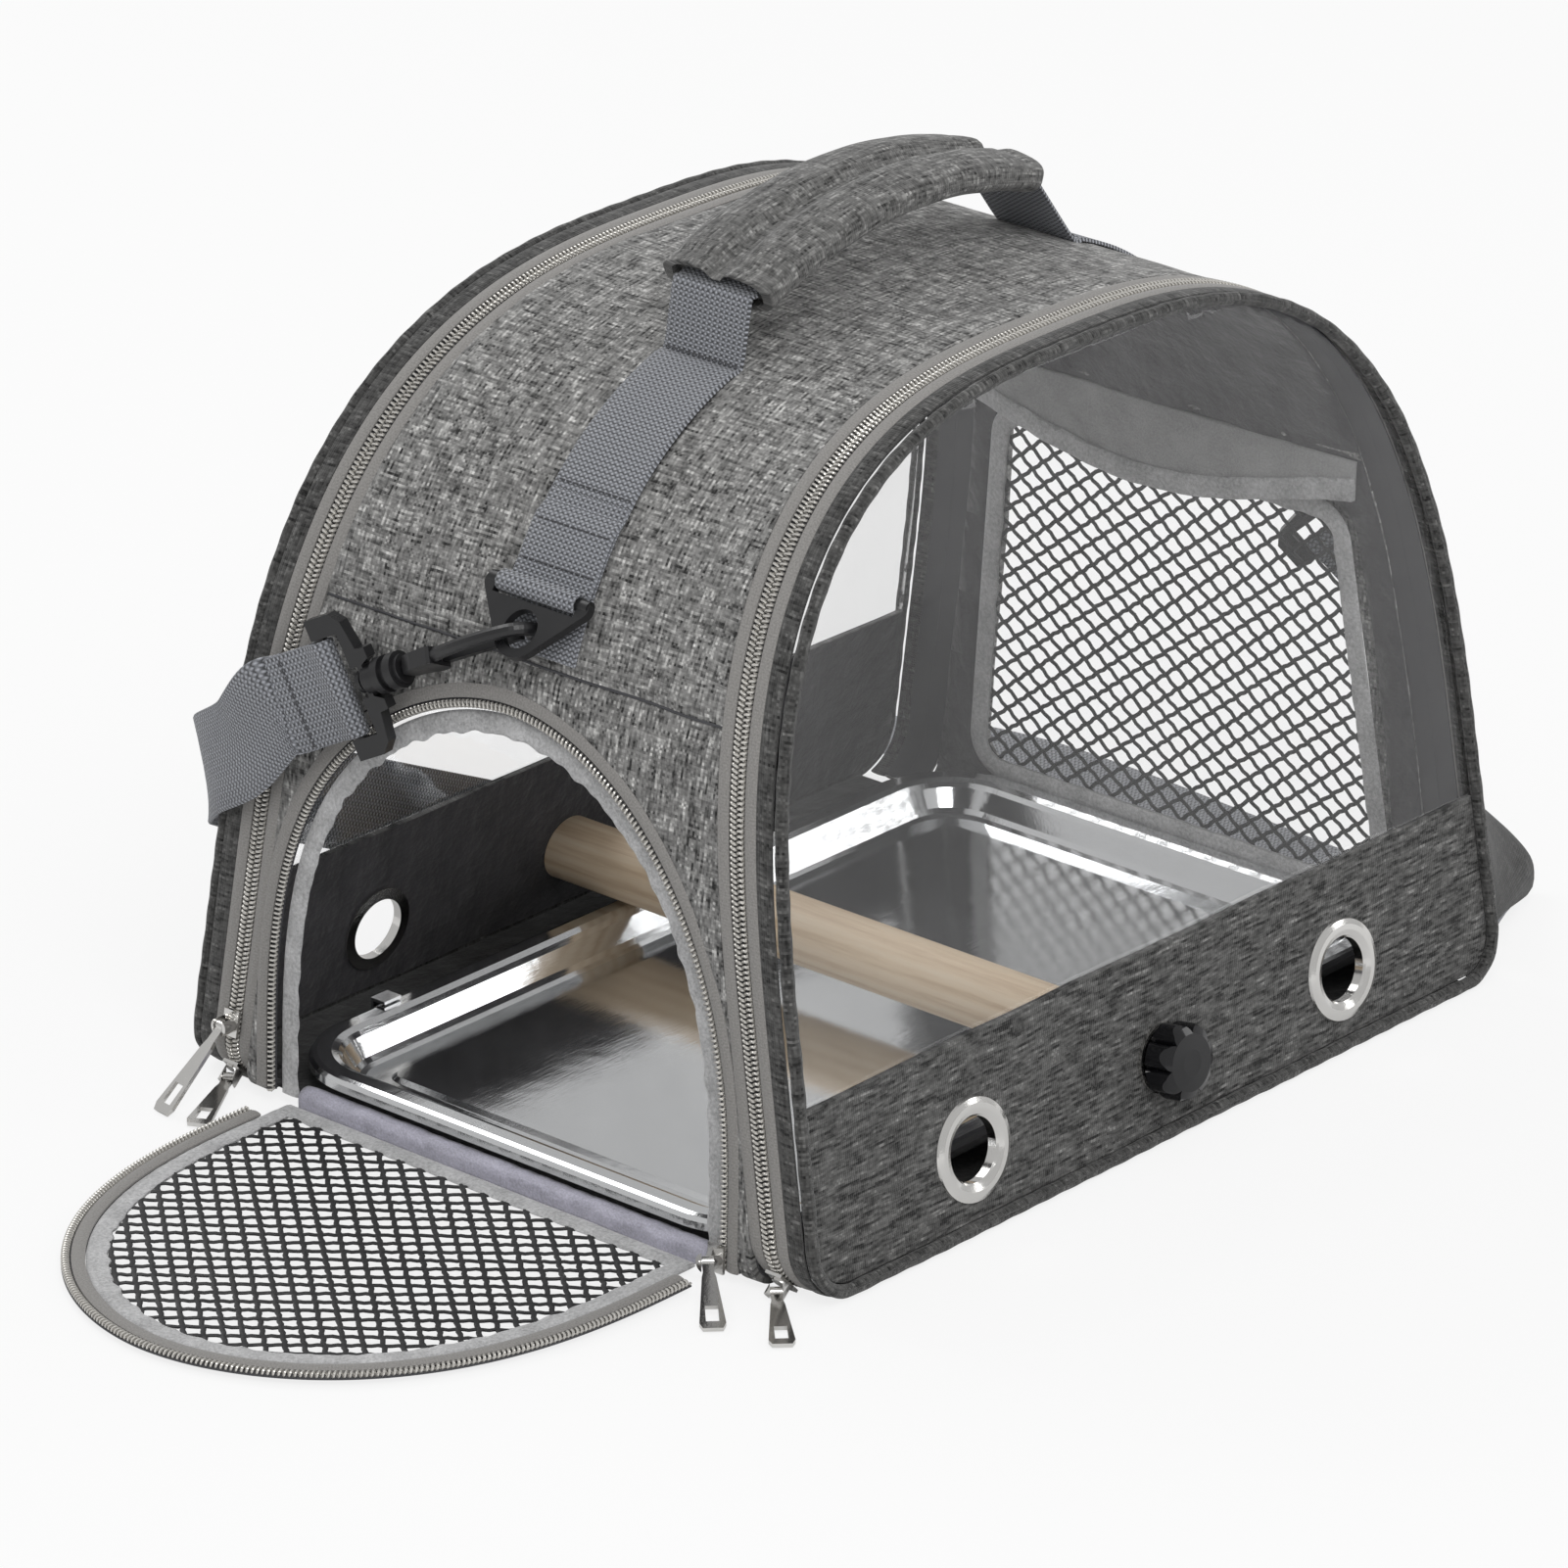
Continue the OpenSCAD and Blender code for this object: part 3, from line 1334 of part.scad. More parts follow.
floor_panel();
door_side_wall();
far_side_wall();
roof_panel();
lining();
front_cabin_zip();
rear_cabin_zip();
door_wall_zip();
door_wall_binding();
door_sill();
far_mesh();
far_mesh_binding();
far_flap();
front_panel_zip();
front_piping();
front_band();
front_window();
front_eyelets();
front_washer();
front_knob();
front_screw();
rear_panel_zip();
rear_piping();
rear_band();
rear_window();
rear_eyelets();
rear_washer();
rear_knob();
rear_screw();
perch();
perch_inserts();
tray();
tray_clip();
door_mesh();
door_binding();
door_zip();
front_slider();
front_pull();
rear_slider_upper();
rear_pull_upper();
rear_slider_lower();
rear_pull_lower();
door_slider();
door_pull();
handle_webbing();
handle_grip();
left_loop();
left_hook();
left_gate();
left_bracket();
right_loop();
right_hook();
right_gate();
right_bracket();
shoulder_strap();
shoulder_pad();
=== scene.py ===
import math
import bmesh
import bpy
import numpy as np
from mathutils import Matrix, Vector, noise


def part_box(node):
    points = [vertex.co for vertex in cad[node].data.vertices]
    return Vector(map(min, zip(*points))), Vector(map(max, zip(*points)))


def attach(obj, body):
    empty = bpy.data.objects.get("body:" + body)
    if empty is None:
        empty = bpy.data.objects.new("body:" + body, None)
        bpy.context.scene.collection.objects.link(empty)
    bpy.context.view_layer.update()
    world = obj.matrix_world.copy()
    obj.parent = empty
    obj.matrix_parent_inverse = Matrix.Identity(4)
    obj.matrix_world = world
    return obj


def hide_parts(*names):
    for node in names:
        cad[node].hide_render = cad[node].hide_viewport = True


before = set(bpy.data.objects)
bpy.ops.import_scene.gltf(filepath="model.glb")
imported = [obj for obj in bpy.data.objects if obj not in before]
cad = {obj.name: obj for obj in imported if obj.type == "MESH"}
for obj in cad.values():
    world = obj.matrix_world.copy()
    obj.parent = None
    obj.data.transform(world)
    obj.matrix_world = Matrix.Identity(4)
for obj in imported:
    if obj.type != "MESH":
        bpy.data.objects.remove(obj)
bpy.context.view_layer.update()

MM = 0.001
WARP_SIZE = 46.0  # millimetres between the uneven spots of sewn cloth
scene = bpy.context.scene

# ---- the named values of the part's source, in millimetres ----
W, D, H = 400.0, 310.0, 306.0
LEAN, WALL_LEAN = math.radians(8.7), math.radians(1.86)
SPRING, POWER = 90.0, 2.9
PANEL_R, WALL_R = 20.0, 10.0
FABRIC = 2.5
SEAM = 204.0
UP = 1 / math.cos(LEAN)
HINGE_X, HINGE_Z, HINGE_S = -198.928, 2.2, 2.234
DOOR_W, DOOR_H, DOOR_Y, DOOR_LOW = 112.0, 184.0, 1.0, 24.0
DOOR_CUT = 9.0
HANDLE_Y = -8.0
WEB_W, WEB_T = 38.0, 1.6


# ---- geometry helpers ----
def taper(z):
    return 1 - z * math.tan(WALL_LEAN) / (W / 2)


def half_width(z):
    if z < SPRING:
        return W / 2 * taper(z)
    k = min(max((z - SPRING) / (H - SPRING), 0), 1)
    return W / 2 * taper(z) * (1 - k ** POWER) ** (1 / POWER)


def arch_point(t):
    """Right half of the arched section, t degrees over its springing."""
    t = math.radians(t)
    z = SPRING + (H - SPRING) * math.sin(t) ** (2 / POWER)
    return np.array([W / 2 * max(math.cos(t), 0) ** (2 / POWER) * taper(z), z])


def right_half(r, fine=90):
    """Right half of the section from its foot to the crown; r rounds the lower corner."""
    pts = []
    for k in range(13):
        a = math.radians(-90 + 7.5 * k)
        pts.append([W / 2 * taper(r) - r + r * math.cos(a), r + r * math.sin(a)])
    for k in range(fine + 1):
        pts.append(list(arch_point(90 * k / fine)))
    return pts


def path_lengths(p):
    """Length along a path at each of its points."""
    return np.r_[0, np.cumsum(np.linalg.norm(np.diff(p, axis=0), axis=1))]


def resample(p, step, closed=False):
    """The same path with evenly spaced points."""
    p = np.asarray(p, float)
    if closed:
        p = np.vstack([p, p[:1]])
    d = path_lengths(p)
    keep = np.r_[True, np.diff(d) > 1e-9]
    p, d = p[keep], d[keep]
    s = np.linspace(0, d[-1], max(2, int(round(d[-1] / step)) + 1))
    return np.stack([np.interp(s, d, p[:, k]) for k in range(p.shape[1])], 1)


def arch_line(r, foot=0.0):
    """From the left foot over the crown to the right foot, x and z."""
    half = [q for q in right_half(r) if q[1] >= foot]
    return np.array([[-q[0], q[1]] for q in half] + half[-2::-1])


def normals_2d(p, closed=False):
    if closed:
        t = np.roll(p, -1, 0) - np.roll(p, 1, 0)
    else:
        t = np.gradient(p, axis=0)
    t /= np.linalg.norm(t, axis=1)[:, None]
    return np.stack([-t[:, 1], t[:, 0]], 1)


def outward(p, centre, closed=False):
    """Unit normals of a line that point away from a centre."""
    n = normals_2d(p, closed)
    return np.where(((p - centre) * n).sum(1)[:, None] < 0, -n, n)


def half_depth(n, z):
    """Half the depth at height z, n in from the front or rear edge."""
    return D / 2 - n * UP - z * math.tan(LEAN)


def curve(p, steps):
    """A smooth curve through points."""
    p = np.asarray(p, float)
    out = []
    for k in range(len(p) - 1):
        a, b, c, d = p[max(k - 1, 0)], p[k], p[k + 1], p[min(k + 2, len(p) - 1)]
        for j in range(steps):
            u = j / steps
            out.append(0.5 * (2 * b + (c - a) * u + (2 * a - 5 * b + 4 * c - d) * u * u
                              + (3 * b - a - 3 * c + d) * u ** 3))
    out.append(p[-1])
    return np.array(out)


def linked(name, data):
    ob = bpy.data.objects.new(name, data)
    scene.collection.objects.link(ob)
    return ob


def build(name, verts, faces, mats, uv, sharp, face_mats=None):
    """A mesh from points in millimetres; uv holds one pair in millimetres a vertex."""
    me = bpy.data.meshes.new(name)
    me.from_pydata([tuple(v) for v in np.asarray(verts, float) * MM], [], [tuple(f) for f in faces])
    me.update()
    for m in (mats if isinstance(mats, (list, tuple)) else [mats]):
        me.materials.append(m)
    put_uv(me, uv)
    if face_mats is not None:
        me.polygons.foreach_set("material_index", np.asarray(face_mats, np.int32))
    finish_mesh(me, sharp)
    return linked(name, me)


def put_uv(me, uv):
    layer = me.uv_layers.new(name="UVMap")
    idx = np.zeros(len(me.loops), np.int32)
    me.loops.foreach_get("vertex_index", idx)
    layer.data.foreach_set("uv", (np.asarray(uv, np.float32)[idx]).ravel())


def finish_mesh(me, sharp):
    bm = bmesh.new()
    bm.from_mesh(me)
    bmesh.ops.recalc_face_normals(bm, faces=bm.faces)
    bm.to_mesh(me)
    bm.free()
    me.polygons.foreach_set("use_smooth", np.ones(len(me.polygons), bool))
    me.set_sharp_from_angle(angle=math.radians(sharp))


def merge(parts):
    """Joins (verts, faces, uv) triples."""
    V, F, U, base = [], [], [], 0
    for v, f, u in parts:
        V.append(v)
        U.append(u)
        F += [tuple(i + base for i in q) for q in f]
        base += len(v)
    return np.vstack(V), F, np.vstack(U)


def sweep(rings, closed_path=False, lengths=None):
    """rings: (n, m, 3). Joins neighbouring rings into a tube."""
    n, m = rings.shape[:2]
    V = rings.reshape(-1, 3)
    F = []
    for k in range(n if closed_path else n - 1):
        a, b = k * m, ((k + 1) % n) * m
        F += [(a + j, a + (j + 1) % m, b + (j + 1) % m, b + j) for j in range(m)]
    if not closed_path:
        F.append(tuple(range(m))[::-1])
        F.append(tuple((n - 1) * m + j for j in range(m)))
    if lengths is None:
        lengths = path_lengths(rings.mean(1))
    around = path_lengths(rings[n // 2])
    U = np.stack(np.meshgrid(lengths, around, indexing="ij"), -1).reshape(-1, 2)
    return V, F, U


def tube(path, radius, sides=8, closed=False, ref=None, flat=1.0):
    """A round or flattened tube along points; ref gives the flat side's direction."""
    path = np.asarray(path, float)
    t = (np.roll(path, -1, 0) - np.roll(path, 1, 0)) if closed else np.gradient(path, axis=0)
    t /= np.linalg.norm(t, axis=1)[:, None] + 1e-12
    if ref is None:
        ref = np.array([0.0, 0.0, 1.0])
        if abs(t[:, 2]).mean() > 0.8:
            ref = np.array([0.0, 1.0, 0.0])
    ref = np.broadcast_to(np.asarray(ref, float), path.shape)
    a = ref - (ref * t).sum(1)[:, None] * t
    a /= np.linalg.norm(a, axis=1)[:, None] + 1e-12
    b = np.cross(t, a)
    q = np.linspace(0, 2 * math.pi, sides, endpoint=False)
    rad = np.broadcast_to(np.asarray(radius, float), (len(path),))
    rings = path[:, None] + rad[:, None, None] * (
        np.cos(q)[None, :, None] * a[:, None] * flat + np.sin(q)[None, :, None] * b[:, None])
    return sweep(rings, closed_path=closed)


def warp(p, amp):
    """Slow unevenness of sewn cloth; the same everywhere for what is sewn together."""
    q = Vector((p[0] / WARP_SIZE, p[1] / WARP_SIZE, p[2] / WARP_SIZE))
    v = noise.noise_vector(q) + 0.5 * noise.noise_vector(q * 2.3)
    return np.array(v) * amp


def warp_all(V, amp=0.7):
    return np.array([v + warp(v, amp) for v in V])


def noise_at(x, y, z):
    """Noise at points whose coordinates are arrays or single numbers."""
    return np.array([noise.noise(Vector(p)) for p in np.broadcast(x, y, z)])


def rounded(v, power):
    """v with its magnitude raised to a power, which squares off an ellipse."""
    return np.sign(v) * np.abs(v) ** power


def unit(v):
    return v / np.linalg.norm(v)


def ramp(x, a, b):
    return np.clip((np.asarray(x, float) - a) / (b - a), 0, 1)


OUT = resample(arch_line(WALL_R), step=4)
OUT_N = normals_2d(OUT)
OUT_S = path_lengths(OUT)


def nearest_s(xz):
    d = ((xz[:, None] - OUT[None]) ** 2).sum(2)
    return d.argmin(1)


def wall_uv(V):
    k = nearest_s(V[:, [0, 2]])
    t = np.gradient(OUT, axis=0)
    t /= np.linalg.norm(t, axis=1)[:, None]
    s = OUT_S[k] + ((V[:, [0, 2]] - OUT[k]) * t[k]).sum(1)
    return np.stack([V[:, 1], s], 1)


def panel_uv(V):
    return np.stack([V[:, 0], V[:, 2] * UP], 1)


def dense(node, name, mats, steps, uv, shift=None, sharp=40, face_mat=None):
    """A finer copy of a CAD node's cloth, shifted point by point."""
    bm = bmesh.new()
    bm.from_mesh(cad[node].data)
    bmesh.ops.remove_doubles(bm, verts=bm.verts, dist=2e-6)
    lo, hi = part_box(node)
    for axis in range(3):
        if not steps[axis]:
            continue
        st = steps[axis] * MM
        x = lo[axis] + st / 2
        while x < hi[axis]:
            co, no = Vector((0, 0, 0)), Vector((0, 0, 0))
            co[axis], no[axis] = x, 1
            bmesh.ops.bisect_plane(bm, geom=bm.verts[:] + bm.edges[:] + bm.faces[:],
                                   plane_co=co, plane_no=no, dist=1e-7)
            x += st
    me = bpy.data.meshes.new(name)
    bm.to_mesh(me)
    bm.free()
    co = np.zeros(len(me.vertices) * 3)
    me.vertices.foreach_get("co", co)
    V = co.reshape(-1, 3) / MM
    UVs = uv(V)
    V2 = shift(V) if shift else warp_all(V)
    me.vertices.foreach_set("co", (V2 * MM).ravel())
    for m in (mats if isinstance(mats, (list, tuple)) else [mats]):
        me.materials.append(m)
    put_uv(me, UVs)
    finish_mesh(me, sharp)
    if face_mat:
        me.polygons.foreach_set("material_index", np.array(
            [face_mat(p.normal, np.array(p.center) / MM) for p in me.polygons], np.int32))
    return linked(name, me)


# ---- materials ----
class Mat:
    """A material under construction; each method adds a node and returns its output."""

    def __init__(self, name):
        self.m = bpy.data.materials.new(name)
        self.m.use_nodes = True
        self.nt = self.m.node_tree
        self.nt.nodes.clear()
        self.out = self.nt.nodes.new("ShaderNodeOutputMaterial")

    def n(self, kind, ins=None, out=0, **props):
        nd = self.nt.nodes.new("ShaderNode" + kind)
        for k, v in props.items():
            setattr(nd, k, v)
        for k, v in (ins or {}).items():
            if isinstance(v, bpy.types.NodeSocket):
                self.nt.links.new(v, nd.inputs[k])
            else:
                nd.inputs[k].default_value = v
        return nd if out is None else nd.outputs[out]

    def uv(self, scale=(1, 1, 1), loc=(0, 0, 0), rot=0.0):
        u = self.n("UVMap", uv_map="UVMap")
        return self.n("Mapping", {"Vector": u, "Scale": scale, "Location": loc,
                                  "Rotation": (0, 0, rot)})

    def obj(self, scale=(1, 1, 1), loc=(0, 0, 0)):
        c = self.n("TexCoord", out=3)
        return self.n("Mapping", {"Vector": c, "Scale": scale, "Location": loc})

    def noise(self, vec, detail, rough=0.55):
        return self.n("TexNoise", {"Vector": vec, "Scale": 1.0, "Detail": detail,
                                   "Roughness": rough})

    def wave(self, vec, pitch, direction="X"):
        return self.n("TexWave", {"Vector": vec, "Scale": WAVE_UNIT / pitch, "Distortion": 0.0,
                                  "Detail": 0.0},
                      out=1, wave_type="BANDS", bands_direction=direction, wave_profile="SIN")

    def math(self, op, a, b=0.5, clamp=False):
        return self.n("Math", {0: a, 1: b}, operation=op, use_clamp=clamp)

    def add(self, a, b, clamp=False):
        return self.math("ADD", a, b, clamp)

    def scaled(self, value, factor):
        return self.math("MULTIPLY", value, factor)

    def point(self, x, y, z):
        return self.n("CombineXYZ", {0: x, 1: y, 2: z})

    def ramp(self, fac, stops):
        nd = self.n("ValToRGB", {"Fac": fac}, out=None)
        el = nd.color_ramp.elements
        while len(el) < len(stops):
            el.new(0.5)
        for e, (p, c) in zip(el, stops):
            e.position = p
            e.color = tuple(c) + (1,) if len(c) == 3 else c
        return nd.outputs[0]

    def mix(self, fac, a, b):
        return self.n("MixRGB", {0: fac, 1: a, 2: b}, blend_type="MIX")

    def bump(self, height, strength, distance, normal=None):
        ins = {"Height": height, "Strength": strength, "Distance": distance}
        if normal is not None:
            ins["Normal"] = normal
        return self.n("Bump", ins)

    def done(self, color, rough=0.6, metal=0.0, normal=None, **extra):
        ins = {"Base Color": color, "Roughness": rough, "Metallic": metal}
        if normal is not None:
            ins["Normal"] = normal
        ins.update(extra)
        sh = self.n("BsdfPrincipled", ins)
        self.nt.links.new(sh, self.out.inputs[0])
        return self.m


# period of a wave texture whose scale is 1
WAVE_UNIT = 0.31416


def grey(v, tint=(1, 1, 1)):
    return (v * tint[0], v * tint[1], v * tint[2], 1)


def shade(color, factor):
    return tuple(min(c * factor, 1) for c in color[:3]) + (1,)


def melange(name, dark, light, across=1.0, along=1.0, contrast=(0.36, 0.66),
            thread=1.05, tint=(1, .99, .965)):
    """Heathered linen-like cloth; across and along weigh the streaks of its two yarns."""
    k = Mat(name)
    u = k.n("SeparateXYZ", {"Vector": k.uv((1 / thread, 1 / thread, 1))}, out=None)
    drift = k.noise(k.uv((1 / 18.0, 1 / 18.0, 1)), 2.0)
    uu = k.add(u.outputs[0], k.scaled(drift, 2.0))
    vv = k.add(u.outputs[1], k.scaled(drift, 2.0))
    ui, vi = k.math("FLOOR", uu), k.math("FLOOR", vv)
    warp_y = k.noise(k.point(k.scaled(ui, 3.7), k.scaled(vv, 0.13), 0.0), 2.0, 0.6)
    weft_y = k.noise(k.point(k.scaled(uu, 0.12), k.scaled(vi, 3.3), 5.0), 2.0, 0.6)
    par = k.math("MODULO", k.math("ABSOLUTE", k.add(ui, vi)), 2.0)
    bias = across / (across + along)
    pick = k.add(k.scaled(par, 0.5), bias - 0.25, clamp=True)
    yarn = k.n("Mix", {0: pick, 2: weft_y, 3: warp_y}, data_type="FLOAT")
    slub = k.noise(k.point(k.scaled(uu, 0.55), k.scaled(vv, 0.045), 2.0), 2.0)
    slub2 = k.noise(k.point(k.scaled(uu, 0.045), k.scaled(vv, 0.55), 9.0), 2.0)
    slubs = k.add(k.scaled(slub, 0.15 * across), k.scaled(slub2, 0.15 * along))
    both = k.add(k.scaled(yarn, 0.70), slubs)
    lo, hi = contrast
    col = k.ramp(both, [(lo, grey(dark, tint)),
                        (lo * 0.45 + hi * 0.55, grey((dark + light) * 0.36, tint)),
                        (hi, grey(light, tint))])
    wx = k.wave(k.uv(), thread, "X")
    wy = k.wave(k.uv(), thread, "Y")
    nor = k.bump(k.add(k.scaled(k.add(wx, wy), 0.3), yarn), 0.5, 0.0005)
    fold = k.noise(k.uv((1 / 34.0, 1 / 34.0, 1), loc=(1, 2, 0)), 2.0)
    nor = k.bump(fold, 0.35, 0.004, nor)
    return k.done(col, 0.86, 0.0, nor, **{"Sheen Weight": 0.2, "Sheen Roughness": 0.5,
                                          "Specular IOR Level": 0.25})


def plain_cloth(name, dark, light, size=1.2, bump=0.5, folds=0.5, tint=(1, 1, 1),
                sheen=0.3, rough=0.8, coords="uv"):
    """Cloth of one colour with a fine nap and soft folds."""
    k = Mat(name)
    c = k.uv if coords == "uv" else k.obj
    s = 1 if coords == "uv" else 1000
    fine = k.noise(c((s / size, s / size, s / size)), 3.0, 0.7)
    mid = k.noise(c((s / 14.0, s / 14.0, s / 14.0)), 3.0)
    both = k.add(k.scaled(fine, 0.6), k.scaled(mid, 0.4))
    col = k.ramp(both, [(0.36, grey(dark, tint)), (0.64, grey(light, tint))])
    nor = k.bump(fine, bump, 0.0004)
    nor = k.bump(mid, folds, 0.003, nor)
    return k.done(col, rough, 0.0, nor, **{"Sheen Weight": sheen, "Specular IOR Level": 0.3})


def webbing(name, dark, light, tint=(0.94, 0.975, 1.07)):
    """Woven strap: u along it, v across it, in staggered floats; the weave is real, but its colour is
    lighter on the floats as painted highlight and near black in the gaps between them as painted shade.
    """
    k = Mat(name)
    a = k.wave(k.uv(rot=math.radians(38)), 1.55)
    b = k.wave(k.uv(rot=math.radians(-38)), 1.55)
    ribs = k.wave(k.uv(), 1.95)
    fine = k.noise(k.uv((1 / 0.6, 1 / 0.6, 1)), 3.0, 0.7)
    float_relief_and_shade = k.add(k.scaled(k.math("MULTIPLY", a, b), 0.8), k.scaled(ribs, 0.22))
    both = k.add(k.scaled(float_relief_and_shade, 0.85), k.scaled(fine, 0.22))
    # colour runs from near-black painted shade in the gaps between floats to the yarn colour with
    # painted highlight on the floats
    col = k.ramp(both, [(0.12, grey(dark, tint)), (0.38, grey((dark + light) / 2, tint)),
                        (0.8, grey(light, tint))])
    nor = k.bump(float_relief_and_shade, 0.8, 0.0009)
    nor = k.bump(fine, 0.25, 0.0003, nor)
    return k.done(col, 0.6, 0.0, nor, **{"Sheen Weight": 0.2, "Specular IOR Level": 0.35})


def metal(name, color, rough, scratch=0.15, dist=0.0002, coords=(900, 900, 900)):
    """Polished metal with fine scratches and slow changes of gloss."""
    k = Mat(name)
    s = k.noise(k.obj(coords), 3.0, 0.6)
    big = k.noise(k.obj((40, 40, 40)), 2.0)
    r = k.n("MapRange", {"Value": k.add(k.scaled(s, 0.4), k.scaled(big, 0.6)),
                         "From Min": 0.3, "From Max": 0.7,
                         "To Min": rough * 0.7, "To Max": rough * 1.5})
    nor = k.bump(s, scratch, dist)
    nor = k.bump(big, scratch, dist * 6, nor)
    return k.done(color, r, 1.0, nor)


def plastic(name, color, rough, grain=0.25, size=0.5):
    """Moulded plastic with a fine grain."""
    k = Mat(name)
    s = k.noise(k.obj((1000 / size,) * 3), 2.0, 0.6)
    big = k.noise(k.obj((90, 90, 90)), 2.0)
    r = k.n("MapRange", {"Value": big, "From Min": 0.3, "From Max": 0.7,
                         "To Min": rough * 0.8, "To Max": rough * 1.25})
    col = k.mix(k.scaled(big, 0.5), color, shade(color, 1.7))
    return k.done(col, r, 0.0, k.bump(s, grain, 0.0001))


def film(name, amount=0.035, tint=0.97):
    """Clear flexible sheet: see-through, with gloss that follows its creases."""
    k = Mat(name)
    big = k.noise(k.obj((11, 11, 7)), 1.0, 0.4)
    crease = k.noise(k.obj((26, 26, 60), loc=(3, 1, 2)), 2.0, 0.5)
    nor = k.bump(big, 0.5, 0.004)
    nor = k.bump(crease, 0.3, 0.0012, nor)
    clear = k.n("BsdfTransparent", {"Color": (tint, tint, tint, 1)})
    gloss = k.n("BsdfGlossy", {"Color": (1, 1, 1, 1), "Roughness": 0.05, "Normal": nor})
    face = k.n("LayerWeight", {"Blend": 0.5, "Normal": nor}, out=1)
    fac = k.add(k.scaled(k.math("POWER", face, 4.0), 0.55), amount, clamp=True)
    sh = k.n("MixShader", {0: fac, 1: clear, 2: gloss})
    k.nt.links.new(sh, k.out.inputs[0])
    return k.m


def wood(name):
    """Pale turned wood, its grain along Y."""
    k = Mat(name)
    grain = k.noise(k.obj((420, 16, 420)), 4.0, 0.6)
    fleck = k.noise(k.obj((900, 60, 900), loc=(3, 0, 1)), 2.0, 0.7)
    rings = k.n("TexWave", {"Vector": k.obj((60, 3.5, 60)), "Scale": 1.0, "Distortion": 5.0,
                            "Detail": 3.0, "Detail Scale": 1.2},
                out=1, wave_type="RINGS", rings_direction="Y")
    marks = k.add(k.scaled(rings, 0.2), k.scaled(fleck, 0.25))
    both = k.add(k.scaled(grain, 0.55), marks)
    col = k.ramp(both, [(0.28, (0.66, 0.48, 0.31, 1)), (0.5, (0.83, 0.66, 0.47, 1)),
                        (0.75, (0.90, 0.76, 0.58, 1))])
    return k.done(col, 0.5, 0.0, k.bump(both, 0.25, 0.0004))


def coil_mat(name, color, rough):
    k = Mat(name)
    s = k.noise(k.obj((700, 700, 700)), 2.0)
    col = k.mix(s, shade(color, 0.7), shade(color, 1.25))
    return k.done(col, rough, 0.55, k.bump(s, 0.15, 0.0002))


def tape_mat(name, dark, light):
    k = Mat(name)
    ribs = k.wave(k.uv(), 1.2)
    fine = k.noise(k.uv((1 / 0.8, 1 / 0.8, 1)), 3.0, 0.7)
    both = k.add(k.scaled(ribs, 0.05), k.add(0.1, k.scaled(fine, 0.8)))
    tint = (1.0, 0.965, 0.925)
    col = k.ramp(both, [(0.3, grey(dark, tint)), (0.75, grey(light, tint))])
    nor = k.bump(both, 0.5, 0.0004)
    return k.done(col, 0.7, 0.0, nor, **{"Sheen Weight": 0.25, "Specular IOR Level": 0.3})


M_WALL = melange("melange_wall", 0.016, 0.74, across=1.3, along=0.6, contrast=(0.39, 0.65))
M_ROOF = melange("melange_roof", 0.016, 0.78, across=0.95, along=0.95, contrast=(0.39, 0.65))
M_BAND = melange("melange_band", 0.010, 0.36, across=0.2, along=1.75, contrast=(0.40, 0.72))
M_GRIP = melange("melange_grip", 0.016, 0.46, across=0.8, along=1.1, contrast=(0.37, 0.66))
M_PAD = melange("melange_pad", 0.012, 0.10, across=0.9, along=0.9)
M_PIPE = melange("melange_piping", 0.012, 0.24, across=1.0, along=0.6)
M_LINING = plain_cloth("lining_cloth", 0.026, 0.066, size=0.7, bump=0.25, folds=0.9,
                       tint=(1, .97, 1.07), rough=0.62)
M_BIND = plain_cloth("binding_fleece", 0.28, 0.62, size=1.5, bump=0.9, folds=0.9,
                     tint=(1, 1, 1.01), sheen=0.6)
M_SILL = plain_cloth("sill_cloth", 0.36, 0.62, size=1.0, bump=0.3, folds=1.0,
                     tint=(0.97, 0.95, 1.12), rough=0.5)
M_FLAP = plain_cloth("flap_cloth", 0.26, 0.42, size=0.9, bump=0.3, folds=0.9)
# dark is painted shade in the gaps between the floats, light is the yarn colour with painted highlight
M_WEB = webbing("webbing", 0.05, 0.50)
M_COIL = coil_mat("zip_coil", (0.70, 0.68, 0.64, 1), 0.24)
M_TAPE = tape_mat("zip_tape", 0.17, 0.36)
M_NET = plastic("net_yarn", (0.010, 0.010, 0.011, 1), 0.5, 0.6, 0.4)
M_FILM = film("clear_film")
M_NICKEL = metal("nickel", (0.74, 0.73, 0.71, 1), 0.13)
M_STEEL = metal("tray_steel", (0.80, 0.81, 0.82, 1), 0.10, 0.10, 0.0003, (120, 900, 900))
M_BLACK = plastic("black_plastic", (0.012, 0.012, 0.013, 1), 0.33)
M_KNOB = plastic("knob_plastic", (0.006, 0.006, 0.007, 1), 0.09, 0.05)
M_BEECH = wood("beech")
M_BRASS = metal("brass", (0.62, 0.45, 0.20, 1), 0.25)
M_PLATED = metal("plated_steel", (0.55, 0.55, 0.56, 1), 0.22)
M_BOARD = plain_cloth("board_cloth", 0.020, 0.045, size=0.8, folds=0.6, coords="obj")
M_THREAD = plastic("thread", (0.05, 0.05, 0.055, 1), 0.6, 0.4, 0.3)


def dress(node, m):
    cad[node].data.materials.clear()
    cad[node].data.materials.append(m)


for node in cad:
    if "eyelets" in node or "washer" in node or "pull" in node or "slider" in node:
        dress(node, M_NICKEL)
    elif "knob" in node:
        dress(node, M_KNOB)
    elif "screw" in node or node == "tray_clip":
        dress(node, M_PLATED)
    elif "hook" in node or "gate" in node or "bracket" in node or "loop" in node:
        dress(node, M_BLACK)
dress("tray", M_STEEL)
dress("perch", M_BEECH)
dress("perch_inserts", M_BRASS)
dress("floor_panel", M_BOARD)


